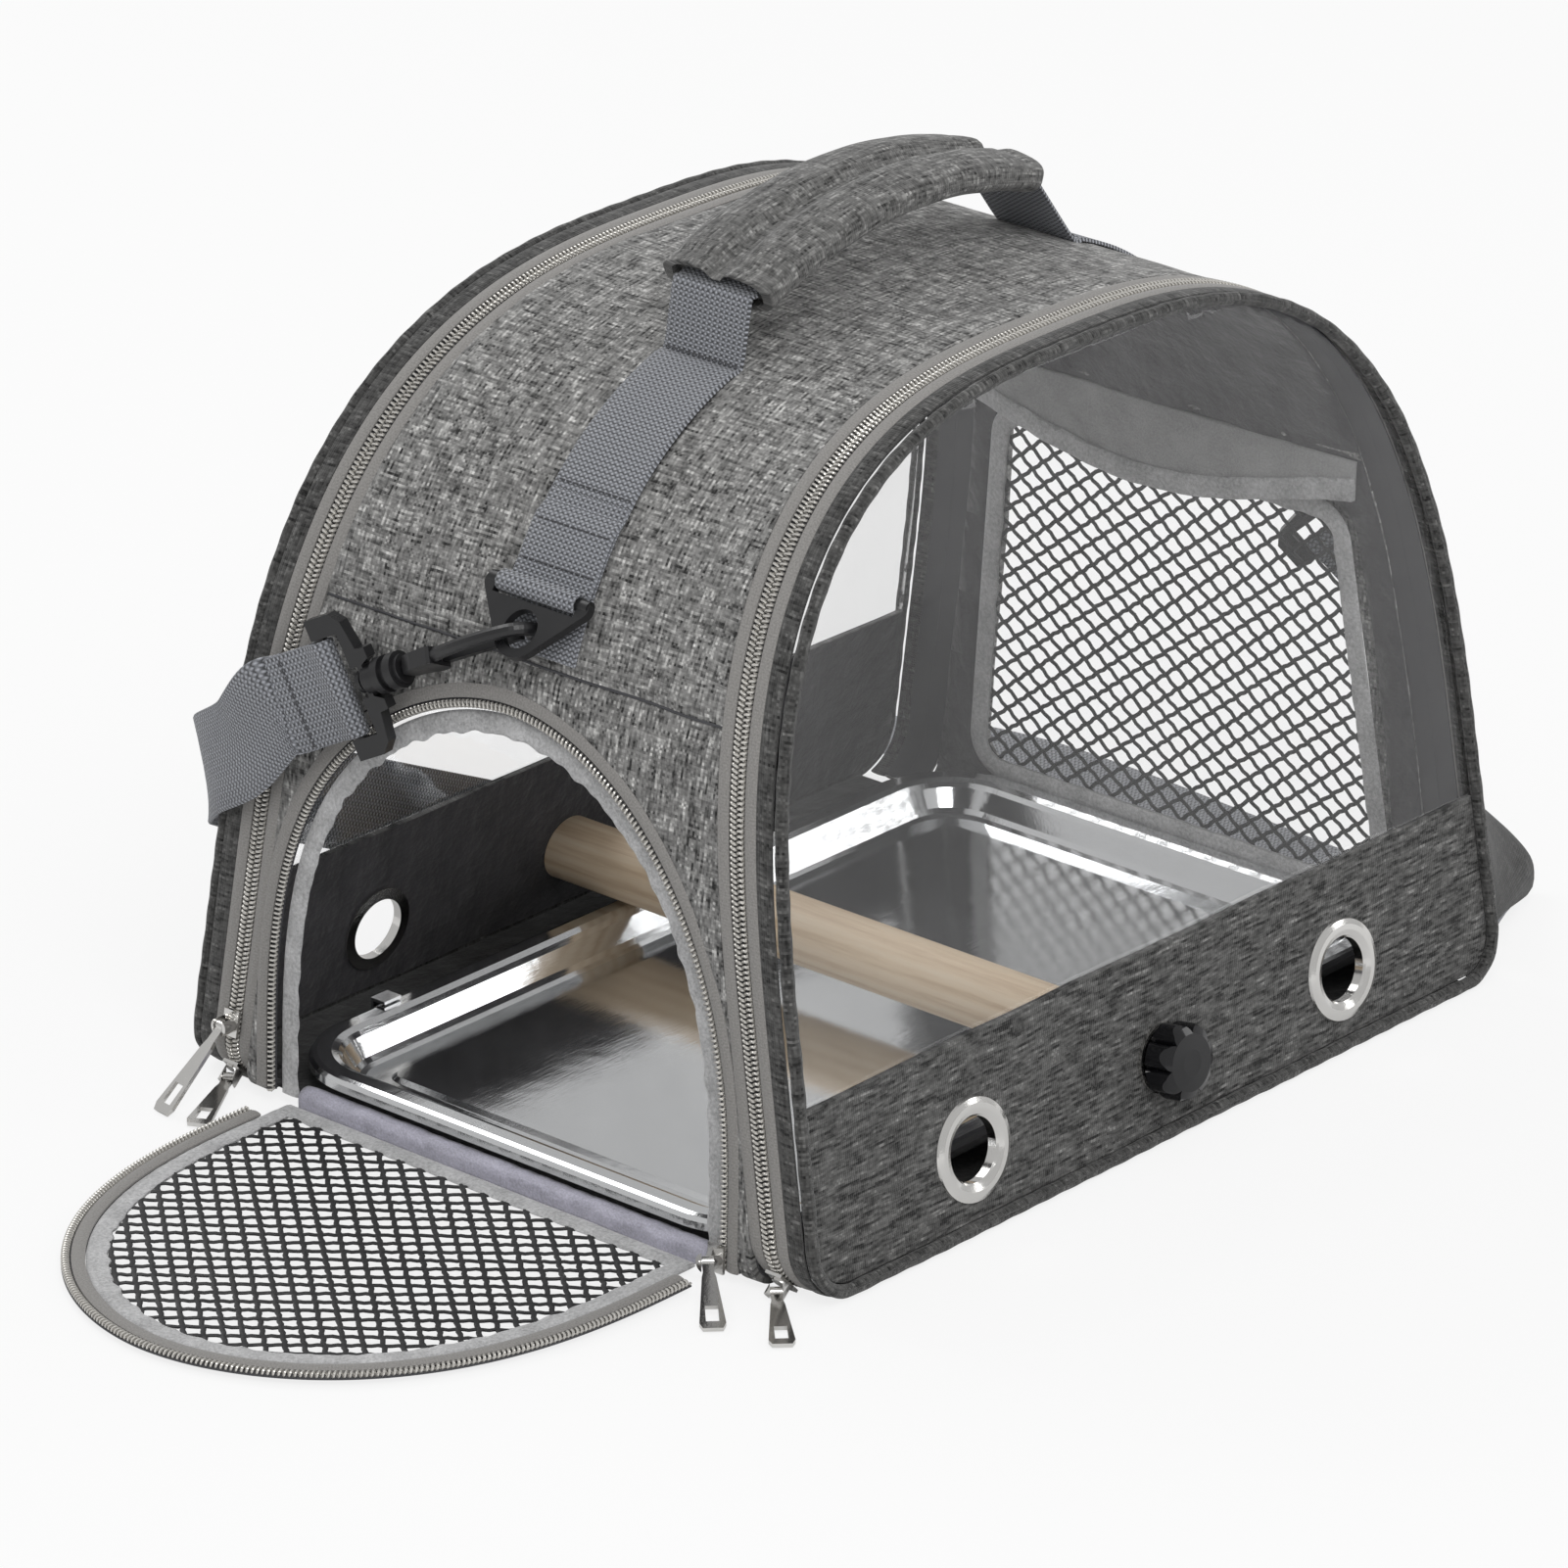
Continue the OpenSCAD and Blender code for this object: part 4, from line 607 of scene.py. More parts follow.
def piece(ob, body, slot, *nodes):
    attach(ob, body)
    if nodes:
        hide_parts(*nodes)
    return ob


def made(name, mesh, mats, sharp=60):
    """An object of a (verts, faces, uv) triple."""
    return build(name, mesh[0], mesh[1], mats, mesh[2], sharp)


# ---- walls and roof ----
def wall_shift(V):
    """Cloth that is slack between its seams."""
    W2 = warp_all(V)
    z = V[:, 2]
    near = np.exp(-((z - SEAM) / 2.2) ** 2)
    k = nearest_s(V[:, [0, 2]])
    n = OUT_N[k]
    W2[:, 0] -= n[:, 0] * near * 1.1
    W2[:, 2] -= n[:, 1] * near * 1.1
    return W2


for node, name, cloth, steps in (("door_side_wall", "door_side_wall_cloth", M_WALL, (0, 8, 8)),
                                 ("far_side_wall", "far_side_wall_cloth", M_WALL, (0, 8, 8)),
                                 ("roof_panel", "roof_cloth", M_ROOF, (9, 9, 8))):
    piece(dense(node, name, cloth, steps, wall_uv, wall_shift), "cabin", "melange", node)

seams = []
ys = np.linspace(-half_depth(26.5, SEAM), half_depth(26.5, SEAM), 70)
for side in (-1, 1):
    path = np.stack([np.full(70, side * half_width(SEAM)), ys, np.full(70, SEAM)], 1)
    seams.append(tube(wall_shift(path), 0.55, 6))
piece(made("wall_seams", merge(seams), M_THREAD), "cabin", "band_cloth")


def lining_shift(V):
    W2 = warp_all(V)
    k = nearest_s(V[:, [0, 2]])
    n = OUT_N[k]
    inside = np.abs(noise_at(V[:, 1] / 26, V[:, 2] / 34, V[:, 0] / 40)) * 2.2
    from_edge = half_depth(27, 0) - abs(V[:, 1]) - 0.153 * V[:, 2]
    edge = ramp(np.minimum(from_edge, V[:, 2]), 2, 24)
    W2[:, 0] -= n[:, 0] * inside * edge
    W2[:, 2] -= n[:, 1] * inside * edge
    return W2


piece(dense("lining", "lining_sheet", M_LINING, (10, 9, 9), wall_uv, lining_shift, 60),
      "cabin", "lining_cloth", "lining")


# ---- zips ----
RIM = resample(arch_line(PANEL_R, 0.45), step=3.0)
RIM_N = normals_2d(RIM)
RIM_S = path_lengths(RIM)


def rim_place(s, n, q, side):
    """A point s along the panel's edge, n in from it and q under the surface."""
    x = np.interp(s, RIM_S, RIM[:, 0]) - q * np.interp(s, RIM_S, RIM_N[:, 0])
    z = np.interp(s, RIM_S, RIM[:, 1]) - q * np.interp(s, RIM_S, RIM_N[:, 1])
    return np.stack([x, side * half_depth(n, z), z], 1)


def rim_front(s, n, q):
    return rim_place(s, n, q, -1)


def rim_rear(s, n, q):
    return rim_place(s, n, q, 1)


def door_outline(grow=0.0):
    """The door's edge line and its outward normals, grown by a distance."""
    t = np.linspace(0, math.pi, 700)
    y = DOOR_W * rounded(np.cos(t), 2 / 1.9)
    z = DOOR_LOW + (DOOR_H - DOOR_LOW) * np.sin(t) ** (2 / 2.6)
    low = np.linspace(-20, DOOR_LOW, 40)[:-1]
    legs = [np.stack([np.full(39, DOOR_W), low], 1), np.stack([np.full(39, -DOOR_W), low[::-1]], 1)]
    p = resample(np.vstack([legs[0], np.stack([y, z], 1), legs[1]]), step=1.5)
    n = outward(p, [0, 60])
    q = p + grow * n
    q[:, 0] -= DOOR_Y
    return q, n


DOOR, DOOR_N = door_outline()
DOOR_S = path_lengths(DOOR)


def door_flat(s, n):
    a = np.interp(s, DOOR_S, DOOR[:, 0]) + n * np.interp(s, DOOR_S, DOOR_N[:, 0])
    up = np.interp(s, DOOR_S, DOOR[:, 1]) + n * np.interp(s, DOOR_S, DOOR_N[:, 1])
    return a, up


def wall_point(a, up, q):
    """A point on the wall with the door, q under its surface."""
    z = up * math.cos(WALL_LEAN)
    x = np.array([half_width(v) for v in z])
    dx = np.array([(half_width(v + 1) - half_width(v - 1)) / 2 for v in z])
    ln = np.sqrt(1 + dx * dx)
    return np.stack([-(x - q / ln), -a, z + q * dx / ln], 1)


def door_on_wall(s, n, q):
    a, up = door_flat(s, n)
    return wall_point(a, up, q * np.ones_like(a))


def open_point(a, up, q):
    return np.stack([HINGE_X - (up - HINGE_S), -a, HINGE_Z - 1.0 + q * np.ones_like(a)], 1)


DOOR_FACE = 2.7


def door_on_ground(s, n, q):
    a, up = door_flat(s, n)
    return open_point(a, up, q)


def door_from_above(s, n, q):
    """The open door lies with its inner face up; q counts down from that face."""
    return door_on_ground(s, n, DOOR_FACE - q)


COIL_HALF_N, COIL_HALF_Q, COIL_PITCH, COIL_R, COIL_STEPS = 1.14, 0.92, 1.95, 0.54, 9


def coil(place, s0, s1, n_mid, q_mid, flip):
    """A coil of plastic wire that winds along a path; flip is its hand."""
    turns = (s1 - s0) / COIL_PITCH
    k = np.arange(int(turns * COIL_STEPS) + 1)
    s = s0 + k * COIL_PITCH / COIL_STEPS
    f = flip * 2 * math.pi * k / COIL_STEPS
    path = place(s, n_mid + COIL_HALF_N * rounded(np.cos(f), 0.7),
                 q_mid + COIL_HALF_Q * rounded(np.sin(f), 0.7))
    ahead = place(s + 1.0, n_mid, q_mid) - place(s - 1.0, n_mid, q_mid)
    ahead /= np.linalg.norm(ahead, axis=1)[:, None] + 1e-9
    return tube(path, COIL_R, 5, ref=ahead)


def strip_on(place, s, profile):
    """Sweeps a closed outline of (n, q) pairs along a path."""
    one = np.ones_like(s)
    return sweep(np.stack([place(s, n * one, q * one) for n, q in profile], 1), lengths=s)


def tape_profile(n0, n1, q0, t, hump, points=8):
    """Section of a tape with its face at q0, raised by hump in the middle."""
    x = np.linspace(0, 1, points)
    top = [(n0 + (n1 - n0) * u, q0 - hump * math.sin(math.pi * u)) for u in x]
    bot = [(n0 + (n1 - n0) * u, q0 + t) for u in x[::-1]]
    return top + bot


TAPE_Q, TAPE_T, TAPE_HUMP, EDGE_HUMP = 0.1, 0.9, 0.55, 0.45
BACKING_Q, BACKING_T = 1.55, 0.6
COIL_Q = 0.62


def zip_half(name, place, reach, tape, teeth, body, node, edge=None):
    """Tape, coil and, beside the piping, a strip of the panel's cloth."""
    s = np.arange(*reach, 3.0)
    used = tape + teeth
    parts = [strip_on(place, s, tape_profile(*tape, TAPE_Q, TAPE_T, TAPE_HUMP)),
             strip_on(place, s, tape_profile(min(used), max(used), BACKING_Q, BACKING_T, 0.0, 6)),
             coil(place, *reach, sum(teeth) / 2, COIL_Q, 1 if teeth[1] > teeth[0] else -1)]
    if edge:
        parts.append(strip_on(place, s, tape_profile(*edge, TAPE_Q, TAPE_T, EDGE_HUMP, 12)))
    mats = [M_TAPE, M_THREAD, M_COIL, M_PIPE]
    slots = np.repeat(range(len(parts)), [len(f) for v, f, u in parts])
    V, F, U = merge(parts)
    return piece(build(name, V, F, mats, U, 50, slots), body, "zip", node)


# where the parts of the arch zips lie, counted in from the panel's edge
PANEL_TAPE, PANEL_TEETH, PANEL_EDGE = (8.1, 13.3), (17.0, 13.9), (0.8, 7.9)
CABIN_TAPE, CABIN_TEETH = (20.8, 26.0), (17.1, 20.2)
ARCH = (0.6, RIM_S[-1] - 0.6)
SIDES = (("front", rim_front), ("rear", rim_rear))
for word, place in SIDES:
    zip_half(word + "_panel_zip_coil", place, ARCH, PANEL_TAPE, PANEL_TEETH,
             word + "_panel", word + "_panel_zip", PANEL_EDGE)
for word, place in SIDES:
    zip_half(word + "_cabin_zip_coil", place, ARCH, CABIN_TAPE, CABIN_TEETH,
             "cabin", word + "_cabin_zip")


def door_s_at(up0):
    """The stretch of the door's edge line that lies over a height."""
    ok = np.where(DOOR[:, 1] >= up0)[0]
    return DOOR_S[ok[0]], DOOR_S[ok[-1]]


# counted outwards from the door's edge line: the wall's half outside it, the door's inside
zip_half("door_wall_zip_coil", door_on_wall, door_s_at(3.2), (3.8, 8.9), (0.1, 3.2),
         "cabin", "door_wall_zip")
zip_half("door_zip_coil", door_from_above, door_s_at(16.5), (-3.8, -8.9), (-3.2, -0.1),
         "mesh_door", "door_zip")


# ---- bindings ----
def binding_strip(name, place, reach, n_out, n_in, q0, t, body, node, extra=()):
    """Fleece tape folded over an edge, gathered along its sewn line."""
    s = np.arange(*reach, 1.6)
    rings = []
    for i in range(14):
        f = 2 * math.pi * i / 14
        u = 0.5 - 0.5 * math.cos(f)
        n_edge = noise_at(s / 7.0, 2.0, 0) * 1.5 * (1 - u)
        puff = 0.75 + 0.5 * (0.5 * noise_at(s / 5.0, 5.0, u * 2) * 0.7)
        rings.append(place(s, (n_in + (n_out - n_in) * u) + n_edge,
                           q0 + t / 2 - t / 2 * rounded(math.sin(f), 0.6) * puff))
    fleece = merge([sweep(np.stack(rings, 1), lengths=s), *extra])
    return piece(made(name, fleece, M_BIND), body, "binding", node)


binding_strip("door_wall_binding_fleece", door_on_wall, door_s_at(2.0), -0.8, -9.0, 3.0, 2.2,
              "cabin", "door_wall_binding")
ys = np.linspace(-100.5, 102.5, 130)
rings = []
for i in range(12):
    f = 2 * math.pi * i / 12
    u = 0.5 - 0.5 * math.cos(f)
    up = HINGE_S + 1.8 + 4.3 - 4.3 * math.cos(f)
    wob = noise_at(ys / 8.0, 9.0, 0) * 0.7
    rings.append(open_point(-ys, up + wob * u, 1.5 + 1.0 * math.sin(f)))
hem = sweep(np.stack(rings, 1), lengths=ys - ys[0])
binding_strip("door_binding_fleece", door_on_ground, door_s_at(HINGE_S + 3.0), -9.1, -17.6,
              0.45, 2.1, "mesh_door", "door_binding", (hem,))


# ---- nets ----
def inside_poly(p, poly):
    x, y = p[:, 0], p[:, 1]
    c = np.zeros(len(p), bool)
    j = len(poly) - 1
    for i in range(len(poly)):
        (xi, yi), (xj, yj) = poly[i], poly[j]
        hit = ((yi > y) != (yj > y)) & (x < (xj - xi) * (y - yi) / (yj - yi + 1e-12) + xi)
        c ^= hit
        j = i
    return c


def net(poly, pitch, width, thick, to_world, centre, ratio, wave):
    """Crossed yarns in a diamond net, cut to an outline; wave is its unevenness."""
    parts = []
    lo, hi = poly.min(0), poly.max(0)
    R = np.linalg.norm(hi - lo)
    for d in (1, -1):
        ang = math.atan2(ratio * d, 1.0)
        t = np.array([math.cos(ang), math.sin(ang)])
        m = np.array([-t[1], t[0]])
        for k in range(int(-R / pitch), int(R / pitch) + 1):
            s = np.arange(-R, R, 2.4)
            zig = 0.32 * np.sin(2 * math.pi * s / pitch + k * math.pi) * d
            p = centre + m * (k * pitch + zig[:, None]) + t * s[:, None]
            ok = inside_poly(p, poly)
            edges = np.flatnonzero(np.diff(np.r_[False, ok, False].astype(int)))
            for i0, i1 in zip(edges[::2], edges[1::2]):
                if i1 - i0 < 3:
                    continue
                q = p[i0:i1]
                lift = d * 0.16 * np.cos(2 * math.pi * s[i0:i1] / pitch + k * math.pi)
                lift = lift + noise_at(q[:, 0] / 40, q[:, 1] / 40, 1) * wave
                P, ref = to_world(q, lift)
                parts.append(tube(P, width / 2, 6, ref=ref, flat=thick / width))
    return merge(parts)


NET_FOOT = HINGE_S + 7
inner = door_outline(-DOOR_CUT - 6.5)[0]
inner = inner[inner[:, 1] > NET_FOOT]
inner = np.vstack([[inner[0, 0], NET_FOOT], inner, [inner[-1, 0], NET_FOOT]])


def door_net_world(q, lift):
    return open_point(q[:, 0], q[:, 1], 1.45 + lift), np.array([0, 0, 1.0])


yarns = net(inner, 6.9, 2.3, 0.9, door_net_world, np.array([-DOOR_Y, 90.0]), 0.85, 0.18)
piece(made("door_net", yarns, M_NET), "mesh_door", "mesh", "door_mesh")

# the net of the far wall is stretched flat between the foot and head of its window
FOOT, HEAD, HALF_FOOT, HALF_HEAD, LAP = 18.0, 176.0, 104.0, 84.0, 5.0
nfx = half_width(FOOT - LAP) - FABRIC - 0.3
nhx = half_width(HEAD + LAP) - FABRIC - 0.3
rise = HEAD - FOOT + 2 * LAP
net_lean = math.atan2(nfx - nhx, rise)


def far_net_point(y, up, q):
    """up is counted as in the source, q is under the net's outer face."""
    u = up - (FOOT - LAP)
    return np.stack([nfx - u * math.sin(net_lean) - q * math.cos(net_lean), y,
                     FOOT - LAP + u * math.cos(net_lean) - q * math.sin(net_lean)], 1)


def rounded_window(grow, r=12.0):
    """The mesh window's outline with round corners, grown by a distance."""
    c = [(-HALF_FOOT, FOOT), (HALF_FOOT, FOOT), (HALF_HEAD, HEAD), (-HALF_HEAD, HEAD)]
    pts = []
    for i in range(4):
        p = np.array(c[i], float)
        a = unit(np.array(c[i - 1], float) - p)
        b = unit(np.array(c[(i + 1) % 4], float) - p)
        half = math.acos(np.clip(a @ b, -1, 1)) / 2
        cen = p + unit(a + b) * (r / math.sin(half))
        start = math.atan2(*(-(cen - (p + a * (r / math.tan(half)))))[::-1])
        end = math.atan2(*(-(cen - (p + b * (r / math.tan(half)))))[::-1])
        d = (end - start + math.pi) % (2 * math.pi) - math.pi
        for k in range(9):
            f = start + d * k / 8
            pts.append(cen + (r + grow) * np.array([math.cos(f), math.sin(f)]))
    return np.array(pts)


def far_net_world(q, lift):
    P = far_net_point(q[:, 0], q[:, 1], 0.6 + lift)
    return P, np.array([math.cos(net_lean), 0, math.sin(net_lean)])


yarns = net(rounded_window(0.5), 7.4, 1.9, 0.9, far_net_world, np.array([0, 97.0]), 0.8, 0.3)
piece(made("far_net", yarns, M_NET), "cabin", "mesh", "far_mesh")

WIN = resample(rounded_window(0.0), step=1.5, closed=True)[:-1]
WIN_N = outward(WIN, [0, 97], True)
rings = []
for i in range(14):
    f = 2 * math.pi * i / 14
    u = 0.5 - 0.5 * math.cos(f)
    wob = noise_at(np.arange(len(WIN)) / 5.0, 3.0, 0) * 0.8 * (1 - u)
    n = (LAP - 9.0 + 9.0 * u) + wob
    p = WIN + WIN_N * n[:, None]
    rings.append(far_net_point(p[:, 0], p[:, 1], 1.25 + 1.1 - 1.1 * math.sin(f)))
fleece = sweep(np.stack(rings, 1), closed_path=True, lengths=np.arange(len(WIN)) * 1.5)
piece(made("far_binding_fleece", fleece, M_BIND), "cabin", "binding", "far_mesh_binding")


# ---- curtain under the roof ----
def flap_shift(V):
    W2 = warp_all(V, 0.5)
    fold = noise_at(V[:, 1] / 22, V[:, 2] / 60, 4)
    free = ramp(201 - V[:, 2], 0, 20)
    W2[:, 0] -= np.abs(fold) * 3.0 * free
    return W2


def flap_uv(V):
    return np.stack([V[:, 1], V[:, 2]], 1)


FLAP_MID, FLAP_HALF, FLAP_ENDS, FLAP_SAG, FLAP_HEM = 10, 110, 186, 20, 8.5


def flap_mat(normal, c):
    """Fleece (1) along the curved lower edge, cloth (0) above it."""
    a = math.radians(min(90, abs(90 * (c[1] - FLAP_MID) / FLAP_HALF)))
    return 1 if c[2] < FLAP_ENDS - FLAP_SAG * max(math.cos(a), 0) ** 1.4 + FLAP_HEM else 0


flap = dense("far_flap", "far_curtain", [M_FLAP, M_BIND], (0, 5, 4), flap_uv, flap_shift, 50,
             flap_mat)
piece(flap, "cabin", "binding", "far_flap")


# ---- sill ----
def sill_shift(V):
    W2 = warp_all(V, 0.4)
    W2[:, 2] -= np.abs(noise_at(V[:, 1] / 9, 1, 3)) * 0.9 * ramp(V[:, 2], 3, 8)
    return W2


def sill_uv(V):
    return np.stack([V[:, 1], V[:, 2] + V[:, 0]], 1)


piece(dense("door_sill", "door_sill_binding", M_SILL, (0, 3, 3), sill_uv, sill_shift, 60),
      "cabin", "sill_cloth", "door_sill")


# ---- window panels ----
def panel_shift(V):
    return warp_all(V, 0.45)


def band_mat(side):
    """Lining (1) on the face that looks into the cabin, cloth (0) on the others."""
    return lambda n, c: 1 if n[1] * side < -0.5 else 0


def film_shift(side):
    """Soft bulges in a window, and creases towards its upright edges."""
    def shift(V):
        W2 = warp_all(V, 0.45)
        x, z = V[:, 0], V[:, 2]
        edge = ramp(np.minimum(np.array([half_width(v) for v in z]) - abs(x), z - 74), 3, 40)
        bulge = noise_at(x / 60, z / 70, side * 3.0) * 2.4
        crease = np.abs(noise_at(x / 20, z / 30, side * 5.0)) * 1.4
        near = np.exp(-((abs(x) - 178) / 26) ** 2)
        out = (bulge + 0.6) * edge + crease * near * edge
        W2[:, 1] -= side * np.abs(out) * math.cos(LEAN) * 0.8
        return W2
    return shift


PIPING_R, PIPING_OUT = 2.5, 2.0
for side, word in ((-1, "front"), (1, "rear")):
    body = word + "_panel"
    piece(dense(word + "_band", word + "_band_cloth", [M_BAND, M_LINING], (9, 0, 7), panel_uv,
                panel_shift, 40, band_mat(side)), body, "band_cloth", word + "_band")
    piece(dense(word + "_window", word + "_film", M_FILM, (6, 0, 6), panel_uv,
                film_shift(side), 60), body, "film", word + "_window")

    # piping round the panel
    base = right_half(PANEL_R)
    loop = np.array(base + [[-q[0], q[1]] for q in base[-2::-1]])
    loop[:, 1] *= UP
    loop = resample(loop, step=2.5, closed=True)[:-1]
    mid = loop - PIPING_R * outward(loop, [0, 140], True)
    y = side * (D / 2 + PIPING_OUT * math.cos(LEAN)) - side * mid[:, 1] * math.sin(LEAN)
    z = mid[:, 1] * math.cos(LEAN) + PIPING_OUT * math.sin(LEAN)
    P = np.stack([mid[:, 0], y, z], 1)
    ref = np.array([0, side * math.cos(LEAN), math.sin(LEAN)])
    radius = PIPING_R + 0.12 * np.sin(np.arange(len(P)) * 1.1)
    V, F, U = tube(P, radius, 14, closed=True, ref=ref)
    V[:, 2] = np.maximum(V[:, 2], 0.05)
    V = warp_all(V, 0.25)
    V[:, 2] = np.maximum(V[:, 2], 0.05)
    piece(build(word + "_piping_cord", V, F, M_PIPE, U, 60), body, "band_cloth", word + "_piping")


# ---- handle ----
def arch_normal(t):
    d = unit(arch_point(t + 0.5) - arch_point(t - 0.5))
    return np.array([d[1], -d[0]])


def over_arch(t, out):
    return arch_point(t) + out * arch_normal(t)


LOOP_AT, LOOP_OUT, BAR_R = 31.5, 7.8, 2.5
EYE_R = BAR_R + 0.3
BAR = over_arch(LOOP_AT, LOOP_OUT)
GRIP_HALF, GRIP_DROP, GRIP_RISE = 85.0, 18.0, 34.4
GRIP_R = (GRIP_HALF ** 2 + GRIP_DROP ** 2) / (2 * GRIP_DROP)
GRIP_TOP = H + GRIP_RISE
GRIP_A = math.asin(GRIP_HALF / GRIP_R)
GRIP_END = 66.0
GRIP_B = math.asin(GRIP_END / GRIP_R)


def grip_arc(a, r):
    return np.array([r * math.sin(a), GRIP_TOP - GRIP_R + r * math.cos(a)])


LIE = 0.3 + WEB_T / 2
LAP_OUT = 0.6 + 1.5 * WEB_T
CUFF_RUN = 3.0
STITCH_AT = 69.5


def web_side(a):
    """The strap from the grip's crown over its end down to the loop's bar."""
    out = [grip_arc(a * k / 6, GRIP_R) for k in range(1, 7)]
    out.append(grip_arc(a, GRIP_R) + CUFF_RUN * np.array([math.cos(a), -math.sin(a)]))
    out += [over_arch(t, LIE) for t in (STITCH_AT, 68, 65, 61, 57, 53, 49.5, 46, 42.5)]
    out += [over_arch(t, LAP_OUT) for t in (40.5, 37, 34.5)]
    out.append(over_arch(LOOP_AT, LOOP_OUT - EYE_R - WEB_T / 2))
    return out


# sections of straps, in half widths and half thicknesses
WEB_SECTION = ((-1, -0.5), (-0.97, 1), (-0.5, 1), (0, 1), (0.5, 1), (0.97, 1), (1, 0.5),
               (1, -0.5), (0.97, -1), (0.5, -1), (0, -1), (-0.5, -1), (-0.97, -1))
RIBBON_SECTION = ((-1, -0.5), (-0.97, -1), (-0.5, -1), (0, -1), (0.5, -1), (0.97, -1), (1, -0.5),
                  (1, 0.5), (0.97, 1), (0.5, 1), (0, 1), (-0.5, 1), (-0.97, 1), (-1, 0.5))
EYE_SECTION = ((-1, -0.5), (-0.97, 1), (0, 1), (0.97, 1), (1, 0.5), (1, -0.5), (0.97, -1),
               (0, -1), (-0.97, -1))


def section(outline, width, t):
    return [(c * width / 2, e * t / 2) for c, e in outline]


def strap_uv(lengths, prof):
    """Along the strap and across it, for rings of the profile's points."""
    return np.stack(np.meshgrid(lengths, [c for c, e in prof], indexing="ij"), -1).reshape(-1, 2)


def flat_strip(line):
    """A piece of the handle's strap whose middle line lies in the section's plane."""
    line = resample(curve(line, 6), step=2.5)
    n = normals_2d(line)
    prof = section(WEB_SECTION, WEB_W, WEB_T)
    rings = []
    for c, e in prof:
        p = line + n * e
        rings.append(np.stack([p[:, 0], np.full(len(p), HANDLE_Y + c), p[:, 1]], 1))
    V, F, _ = sweep(np.stack(rings, 1))
    return V, F, strap_uv(path_lengths(line), prof)


line = [p * [-1, 1] for p in web_side(GRIP_A)[::-1]] + [grip_arc(0, GRIP_R)] + web_side(GRIP_B)
parts = [flat_strip(line)]
for side in (-1, 1):
    parts.append(flat_strip([over_arch(t, LIE) * [side, 1]
                             for t in (44.5, 42.5, 39, 36, 33, 30, 27, 24.5)]))
    parts.append(flat_strip([BAR * [side, 1] + (EYE_R + WEB_T / 2) * np.array([math.cos(f), math.sin(f)])
                             for f in np.linspace(0, 2 * math.pi, 40)]))
piece(made("handle_strap", merge(parts), M_WEB, 50), "cabin", "webbing", "handle_webbing")

STITCH_HALF, STITCH_GAP, STITCH_LEN, STITCH_R, STITCH_LIFT = 17.5, 3.2, 2.1, 0.32, 0.25


def stitches(middle, across, out):
    """A row of stitches over a strap's width; out points away from its face."""
    parts = []
    k = -STITCH_HALF
    up, turn = out * STITCH_LIFT, across * 0.35
    while k < STITCH_HALF - STITCH_LEN:
        c = middle + across * k
        e = middle + across * (k + STITCH_LEN)
        pts = np.stack([c - out * 0.2, c + up + turn, e + up - turn, e - out * 0.2])
        parts.append(tube(curve(pts, 3), STITCH_R, 5, ref=out))
        k += STITCH_GAP
    return parts


parts = []
for side in (-1, 1):
    for t in (STITCH_AT - 0.5, 45.6, 40.0, 34.8):
        lie = LIE if t > 42.5 else LAP_OUT
        p = over_arch(t, lie + WEB_T / 2 + 0.1)
        n = arch_normal(t)
        parts += stitches(np.array([side * p[0], HANDLE_Y, p[1]]), np.array([0, 1.0, 0]),
                          np.array([side * n[0], 0, n[1]]))
piece(made("handle_stitches", merge(parts), M_THREAD), "cabin", "webbing")

# padded grip: two stuffed rolls side by side, pinched near both ends
GRIP_HALF_W, GRIP_HALF_T, GRIP_SIDES = 26.3, 7.9, 60
GROOVE, GROOVE_HALF = 0.78, 4.6
ang = np.linspace(-GRIP_A, GRIP_B, 110)
end = 1 - np.abs(2 * (ang + GRIP_A) / (GRIP_A + GRIP_B) - 1)
pinch = 1 - 0.12 * np.exp(-((end - 0.09) / 0.03) ** 2)
rings = []
for j in range(GRIP_SIDES):
    f = 2 * math.pi * (j + 0.5) / GRIP_SIDES
    sz = math.sin(f)
    yy = GRIP_HALF_W * rounded(math.cos(f), 0.82)
    dip = 1 - GROOVE * math.exp(-(yy / GROOVE_HALF) ** 2)
    puff = 1 + 0.05 * noise_at(ang * 16, yy / 16, 2 * sz)
    puff += 0.035 * noise_at(ang * 60, yy / 30, 5 + sz) * np.exp(-(end / 0.25))
    r = GRIP_R + GRIP_HALF_T * rounded(sz, 0.62) * dip * pinch * puff
    y = HANDLE_Y + yy * (1 - 0.015 * np.exp(-(end / 0.05)))
    rings.append(np.stack([r * np.sin(ang), y, GRIP_TOP - GRIP_R + r * np.cos(ang)], 1))
R = np.stack(rings, 1)
cuffs = []
for at, step in ((0, 1), (-1, -1)):
    c = R[at].mean(0)
    inner = c + (R[at] - c) * 0.84
    cuffs.append([inner, inner + (R[at + 3 * step].mean(0) - c)])
R = np.concatenate([cuffs[0][::-1], R, cuffs[1]], 0)
grip = made("handle_padding", sweep(R), M_GRIP)
piece(grip, "cabin", "melange", "handle_grip")

# ---- shoulder strap and pad ----
SLOT_FOOT = EYE_R + WEB_T + 0.9
RING_AT = SLOT_FOOT + 2.6 + 7.5
phi = math.atan2(arch_normal(LOOP_AT)[1], arch_normal(LOOP_AT)[0]) + math.radians(13)


def turned(v, angles):
    """v turned about X, then Y, then Z, by degrees."""
    cx, cy, cz = [math.cos(math.radians(a)) for a in angles]
    sx, sy, sz = [math.sin(math.radians(a)) for a in angles]
    x, y, z = v
    y, z = y * cx - z * sx, y * sx + z * cx
    x, z = x * cy + z * sy, -x * sy + z * cy
    return np.array([x * cz - y * sz, x * sz + y * cz, z])


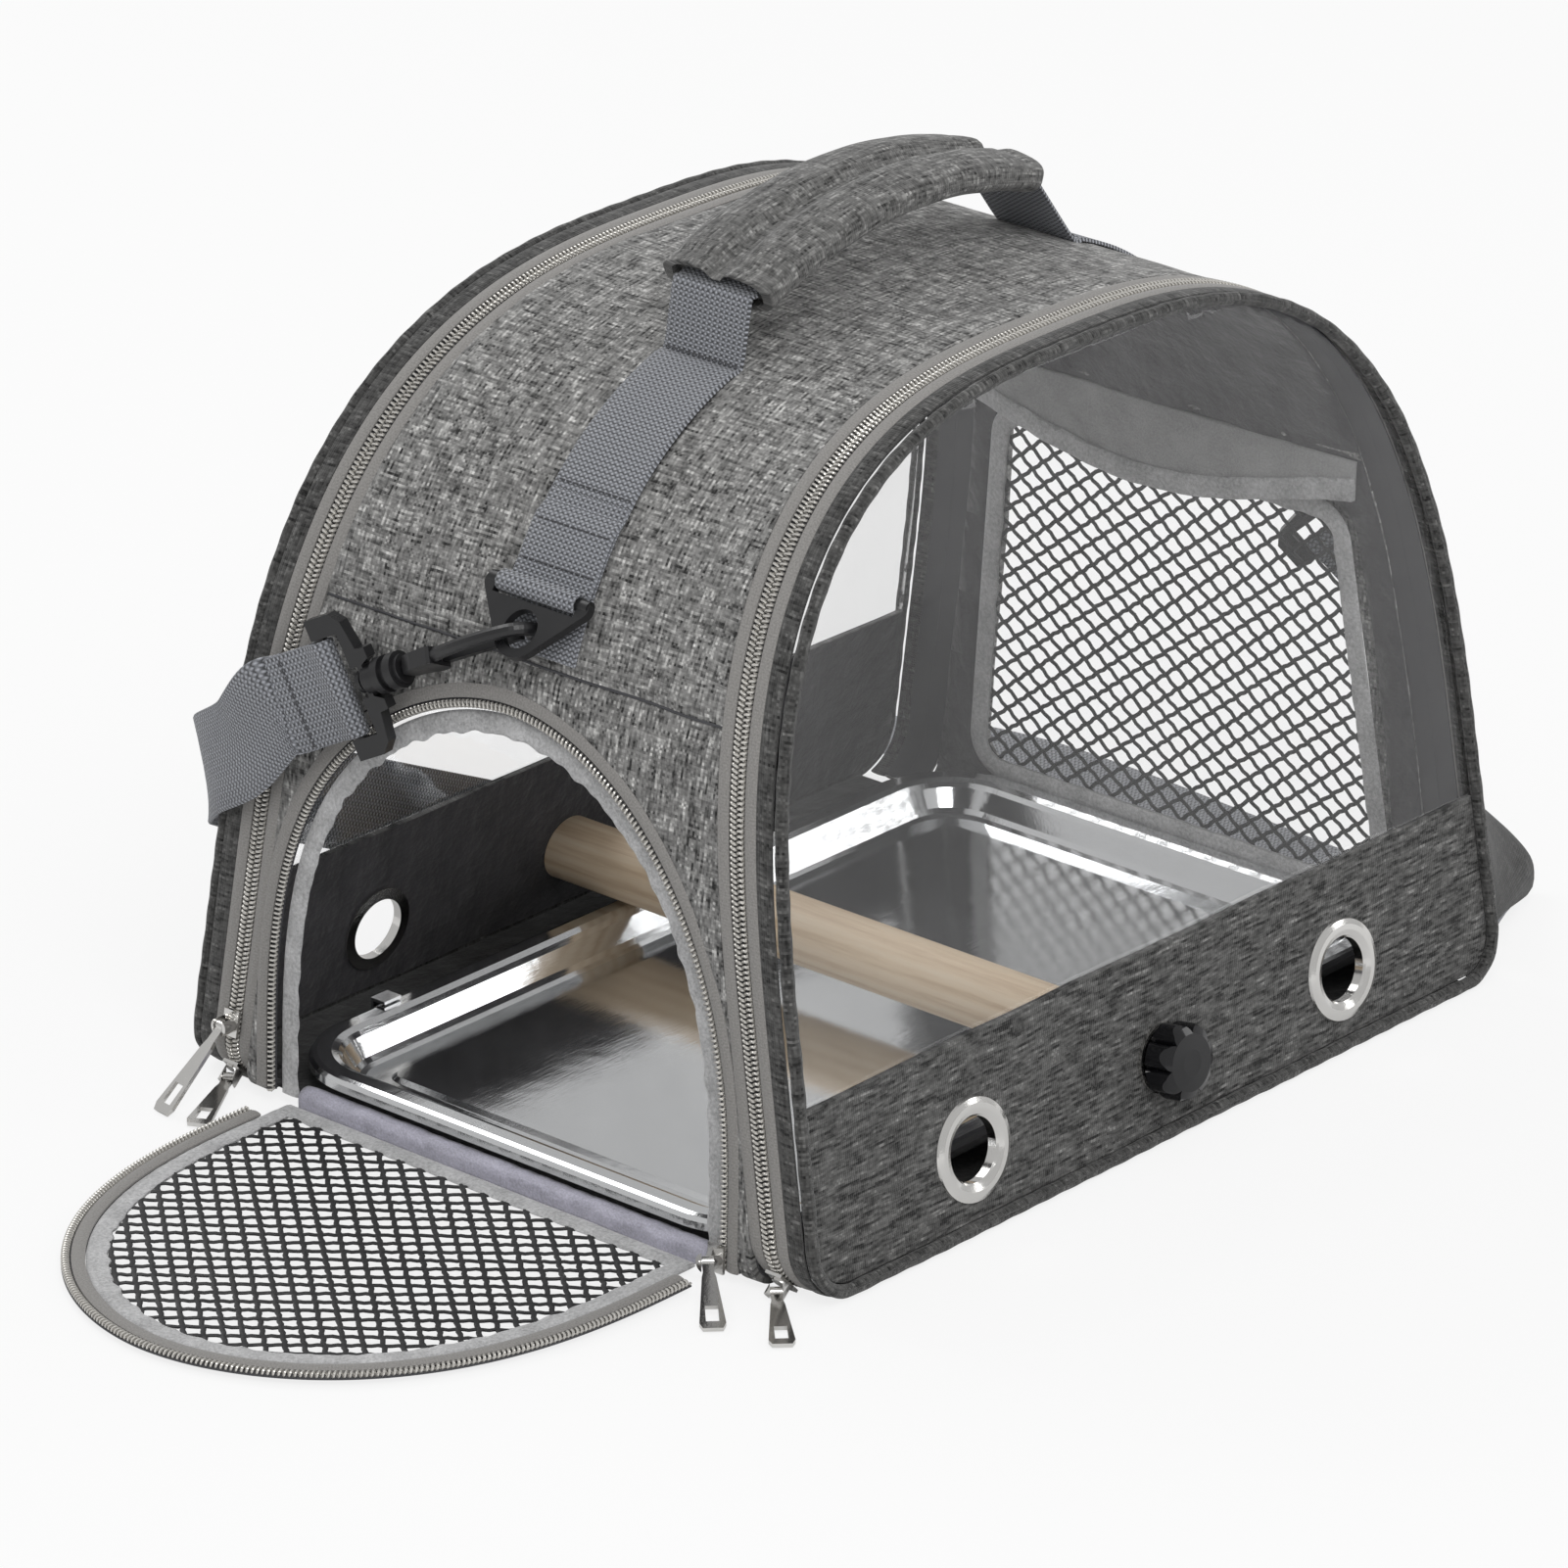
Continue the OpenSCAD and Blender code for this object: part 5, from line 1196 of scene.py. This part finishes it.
LEFT_TURN, RIGHT_TURN = [0, 26.5, 98.8], [170, 48, -126]
RING = np.array([-(BAR[0] + RING_AT * math.sin(phi)), HANDLE_Y, BAR[1] - RING_AT * math.cos(phi)])
MIRROR = np.array([-1, 1, 1])


def left_world(v):
    """From the left hook's own axes, X away from its ring along the strap."""
    return RING + turned(v, LEFT_TURN)


def right_world(v):
    return (RING + turned(v, RIGHT_TURN)) * MIRROR


# distances along the strap's end from the ring; then the strap's guessed route
FRAME_AT, FRAME_LEN, FOLD = 57.5 + 17, 18.0, 26.0
FAR_BAR = FRAME_AT + FRAME_LEN - BAR_R
STRAP_IN = FAR_BAR + FOLD
route_mid = [
    [-204, 122, 143], [-196, 148, 126], [-172, 163, 110], [-136, 166, 92], [-98, 167, 74],
    [-60, 169, 56], [-22, 173, 38], [14, 182, 21], [48, 196, 7], [84, 206, 2],
    [124, 212, 1.1], [168, 208, 1.1], [206, 190, 1.1], [230, 160, 1.1], [240, 120, 1.1],
    [240, 70, 1.1], [236, 20, 1.1], [232, -30, 1.1], [230, -76, 1.1], [233, -108, 1.1],
    [238, -126, 3], [240, -128, 10], [238, -124, 22], [233, -115, 42], [226, -103, 66],
    [219, -90, 90]]
across_mid = [
    [0, 30, 90], [15, 40, 80], [10, 0, 95], [30, 0, 90], [35, 0, 85],
    [40, 5, 80], [40, 20, 75], [38, 62, 50], [28, 92, 12], [8, 98, 2],
    [-2, 100, 0], [26, 97, 0], [61, 79, 0], [90, 44, 0], [99, 11, 0],
    [100, -2, 0], [100, -2, 0], [100, 4, 0], [98, 12, 0], [94, 32, 0],
    [93, 36, 0], [92, 38, 0], [86, 46, -8], [70, 64, -20], [48, 76, -32],
    [20, 82, -46]]
left_mid, right_mid = left_world([STRAP_IN, 0, 0]), right_world([STRAP_IN, 0, 0])
left_across = turned([0, 0, 1], LEFT_TURN)
right_across = turned([0, 0, 1], RIGHT_TURN) * MIRROR
left_dir = turned([1, 0, 0], LEFT_TURN)
right_dir = turned([1, 0, 0], RIGHT_TURN) * MIRROR
EYE_IN = FAR_BAR + (2 * EYE_R + WEB_T) / 2
route = [left_world([EYE_IN, 0, 0]), left_world([FAR_BAR + 14, 0, 0]), left_mid,
         left_mid + 10 * left_dir]
route += [np.array(p, float) for p in route_mid]
route += [right_mid + 12 * right_dir, right_mid, right_world([FAR_BAR + 14, 0, 0]),
          right_world([EYE_IN, 0, 0])]
acrosses = [left_across] * 4 + [np.array(p, float) / 100 for p in across_mid] + [right_across] * 4
FINE = 9
strap_line = curve(route, FINE)
strap_across = curve(acrosses, FINE)


def ribbon(line, across, prof, i0, i1):
    """Sweeps prof(k) along points i0 to i1 of a line, kept square to it."""
    rings = []
    last = len(line) - 1
    for k in range(i0, i1 + 1):
        t = unit(line[min(k + 1, last)] - line[max(k - 1, 0)])
        a = unit(across[k] - (across[k] @ t) * t)
        m = np.cross(t, a)
        rings.append([line[k] + c * a + e * m for c, e in prof(k)])
    V, F, _ = sweep(np.array(rings))
    return V, F, strap_uv(path_lengths(line)[i0:i1 + 1], prof(i0))


def strap_prof(k):
    return section(RIBBON_SECTION, WEB_W, WEB_T)


EYE_W, EYE_LIFT = 37.4, 0.88


def strap_eye(world):
    """The strap's end, folded round the bracket's far bar and sewn to itself."""
    r = EYE_R + WEB_T / 2
    line = [[STRAP_IN + 2, EYE_LIFT]]
    line += [[x, EYE_LIFT + 0.1 * math.sin(x)] for x in np.linspace(STRAP_IN - 4, FAR_BAR + 7, 6)]
    line += [[FAR_BAR + r * math.cos(f), r * math.sin(f)]
             for f in np.linspace(math.pi / 3, 2 * math.pi - math.pi / 3, 30)]
    line += [[x, -EYE_LIFT] for x in np.linspace(FAR_BAR + 7, STRAP_IN + 2, 7)]
    line = resample(line, step=1.5)
    n = normals_2d(line)
    prof = section(EYE_SECTION, EYE_W, WEB_T)
    rings = [np.array([world([x, y, c]) for x, y in line + n * e]) for c, e in prof]
    V, F, _ = sweep(np.stack(rings, 1))
    return V, F, strap_uv(path_lengths(line), prof)


first, last = 2 * FINE - 4, len(strap_line) - 1 - 2 * FINE + 4
web = merge([ribbon(strap_line, strap_across, strap_prof, first, last),
             strap_eye(left_world), strap_eye(right_world)])
strap = made("shoulder_strap_webbing", web, M_WEB, 50)
piece(strap, "cabin", "webbing", "shoulder_strap")

EYE_SEAM = FAR_BAR + 21
parts = []
for at in (left_world, right_world):
    c = at([EYE_SEAM, 0, 0])
    out = at([EYE_SEAM, 1, 0]) - c
    across = at([EYE_SEAM, 0, 1]) - c
    for face in (1, -1):
        parts += stitches(c + out * face * 1.75, across, out * face)
piece(made("strap_stitches", merge(parts), M_THREAD), "cabin", "webbing")

# the pad's ends, as points of the strap's line
thirds = 3 * (len(route) - 1)
i0, i1 = 3 * (thirds - 25), 3 * (thirds - 12)


def pad_prof(k):
    u = (k - i0) / (i1 - i0)
    end = min(u, 1 - u)
    w = 35.4 * (1 - 0.16 * math.exp(-end / 0.03))
    t = 4.35 * (1 - 0.45 * math.exp(-end / 0.05))
    out = []
    for j in range(36):
        f = 2 * math.pi * (j + 0.5) / 36
        c, s = math.cos(f), math.sin(f)
        out.append((w * rounded(c, 0.55), t * rounded(s, 0.5) * (1 - 0.25 * abs(c) ** 6)))
    return out


V, F, U = ribbon(strap_line, strap_across, pad_prof, i0, i1)
V[:, 2] = np.maximum(V[:, 2], 0.1)
pad = build("shoulder_padding", V, F, M_PAD, U, 60)
piece(pad, "cabin", "band_cloth", "shoulder_pad")

# ---- floor, light and camera ----
me = bpy.data.meshes.new("studio_floor")
corners = [(x, y, -0.0006) for x, y in ((-8, -8), (8, -8), (8, 8), (-8, 8))]
me.from_pydata(corners, [], [(0, 1, 2, 3)])
floor = linked("studio_floor", me)
k = Mat("studio_floor")
lp = k.n("LightPath", out=None)
see = k.math("MAXIMUM", lp.outputs["Is Camera Ray"], lp.outputs["Is Transmission Ray"])
dif = k.n("BsdfDiffuse", {"Color": (0.86, 0.86, 0.86, 1)})
emi = k.n("Emission", {"Color": (1, 1, 1, 1), "Strength": 1.0})
white = k.n("MixShader", {0: k.scaled(see, 0.82), 1: dif, 2: emi})
k.nt.links.new(white, k.out.inputs[0])
me.materials.append(k.m)

world = bpy.data.worlds.new("studio")
scene.world = world
world.use_nodes = True
nt = world.node_tree
nt.nodes.clear()
wo = nt.nodes.new("ShaderNodeOutputWorld")


def background(strength):
    bg = nt.nodes.new("ShaderNodeBackground")
    bg.inputs[0].default_value = (1, 1, 1, 1)
    bg.inputs[1].default_value = strength
    return bg.outputs[0]


lp = nt.nodes.new("ShaderNodeLightPath")
mx = nt.nodes.new("ShaderNodeMixShader")
nt.links.new(lp.outputs["Is Camera Ray"], mx.inputs[0])
nt.links.new(background(0.55), mx.inputs[1])
nt.links.new(background(1.0), mx.inputs[2])
nt.links.new(mx.outputs[0], wo.inputs[0])


def lamp(name, place, target, size, power):
    d = bpy.data.lights.new(name, "AREA")
    d.shape = "RECTANGLE"
    d.size, d.size_y = size
    d.energy = power
    ob = linked(name, d)
    ob.location = place
    ob.rotation_euler = (Vector(target) - Vector(place)).to_track_quat("-Z", "Y").to_euler()


lamp("key", (-1.2, -1.5, 2.2), (0, 0, 0.1), (1.4, 1.0), 26)
lamp("fill", (1.9, -1.4, 1.3), (0, 0, 0.12), (1.2, 1.2), 10)
lamp("back", (0.2, 1.8, 1.9), (0, 0, 0.15), (1.6, 0.8), 14)

cam = bpy.data.cameras.new("camera")
cam.sensor_width = 36.0
cam.lens = 212.0
cam.clip_start = 0.05
cam.clip_end = 60
ob = linked("camera", cam)
ob.location = (-2.4116, -2.1116, 1.4539)
aim = Vector((-0.0497, -0.0087, 0.1163)) - ob.location
ob.rotation_euler = aim.to_track_quat("-Z", "Y").to_euler()
scene.camera = ob
scene.view_settings.view_transform = "Standard"
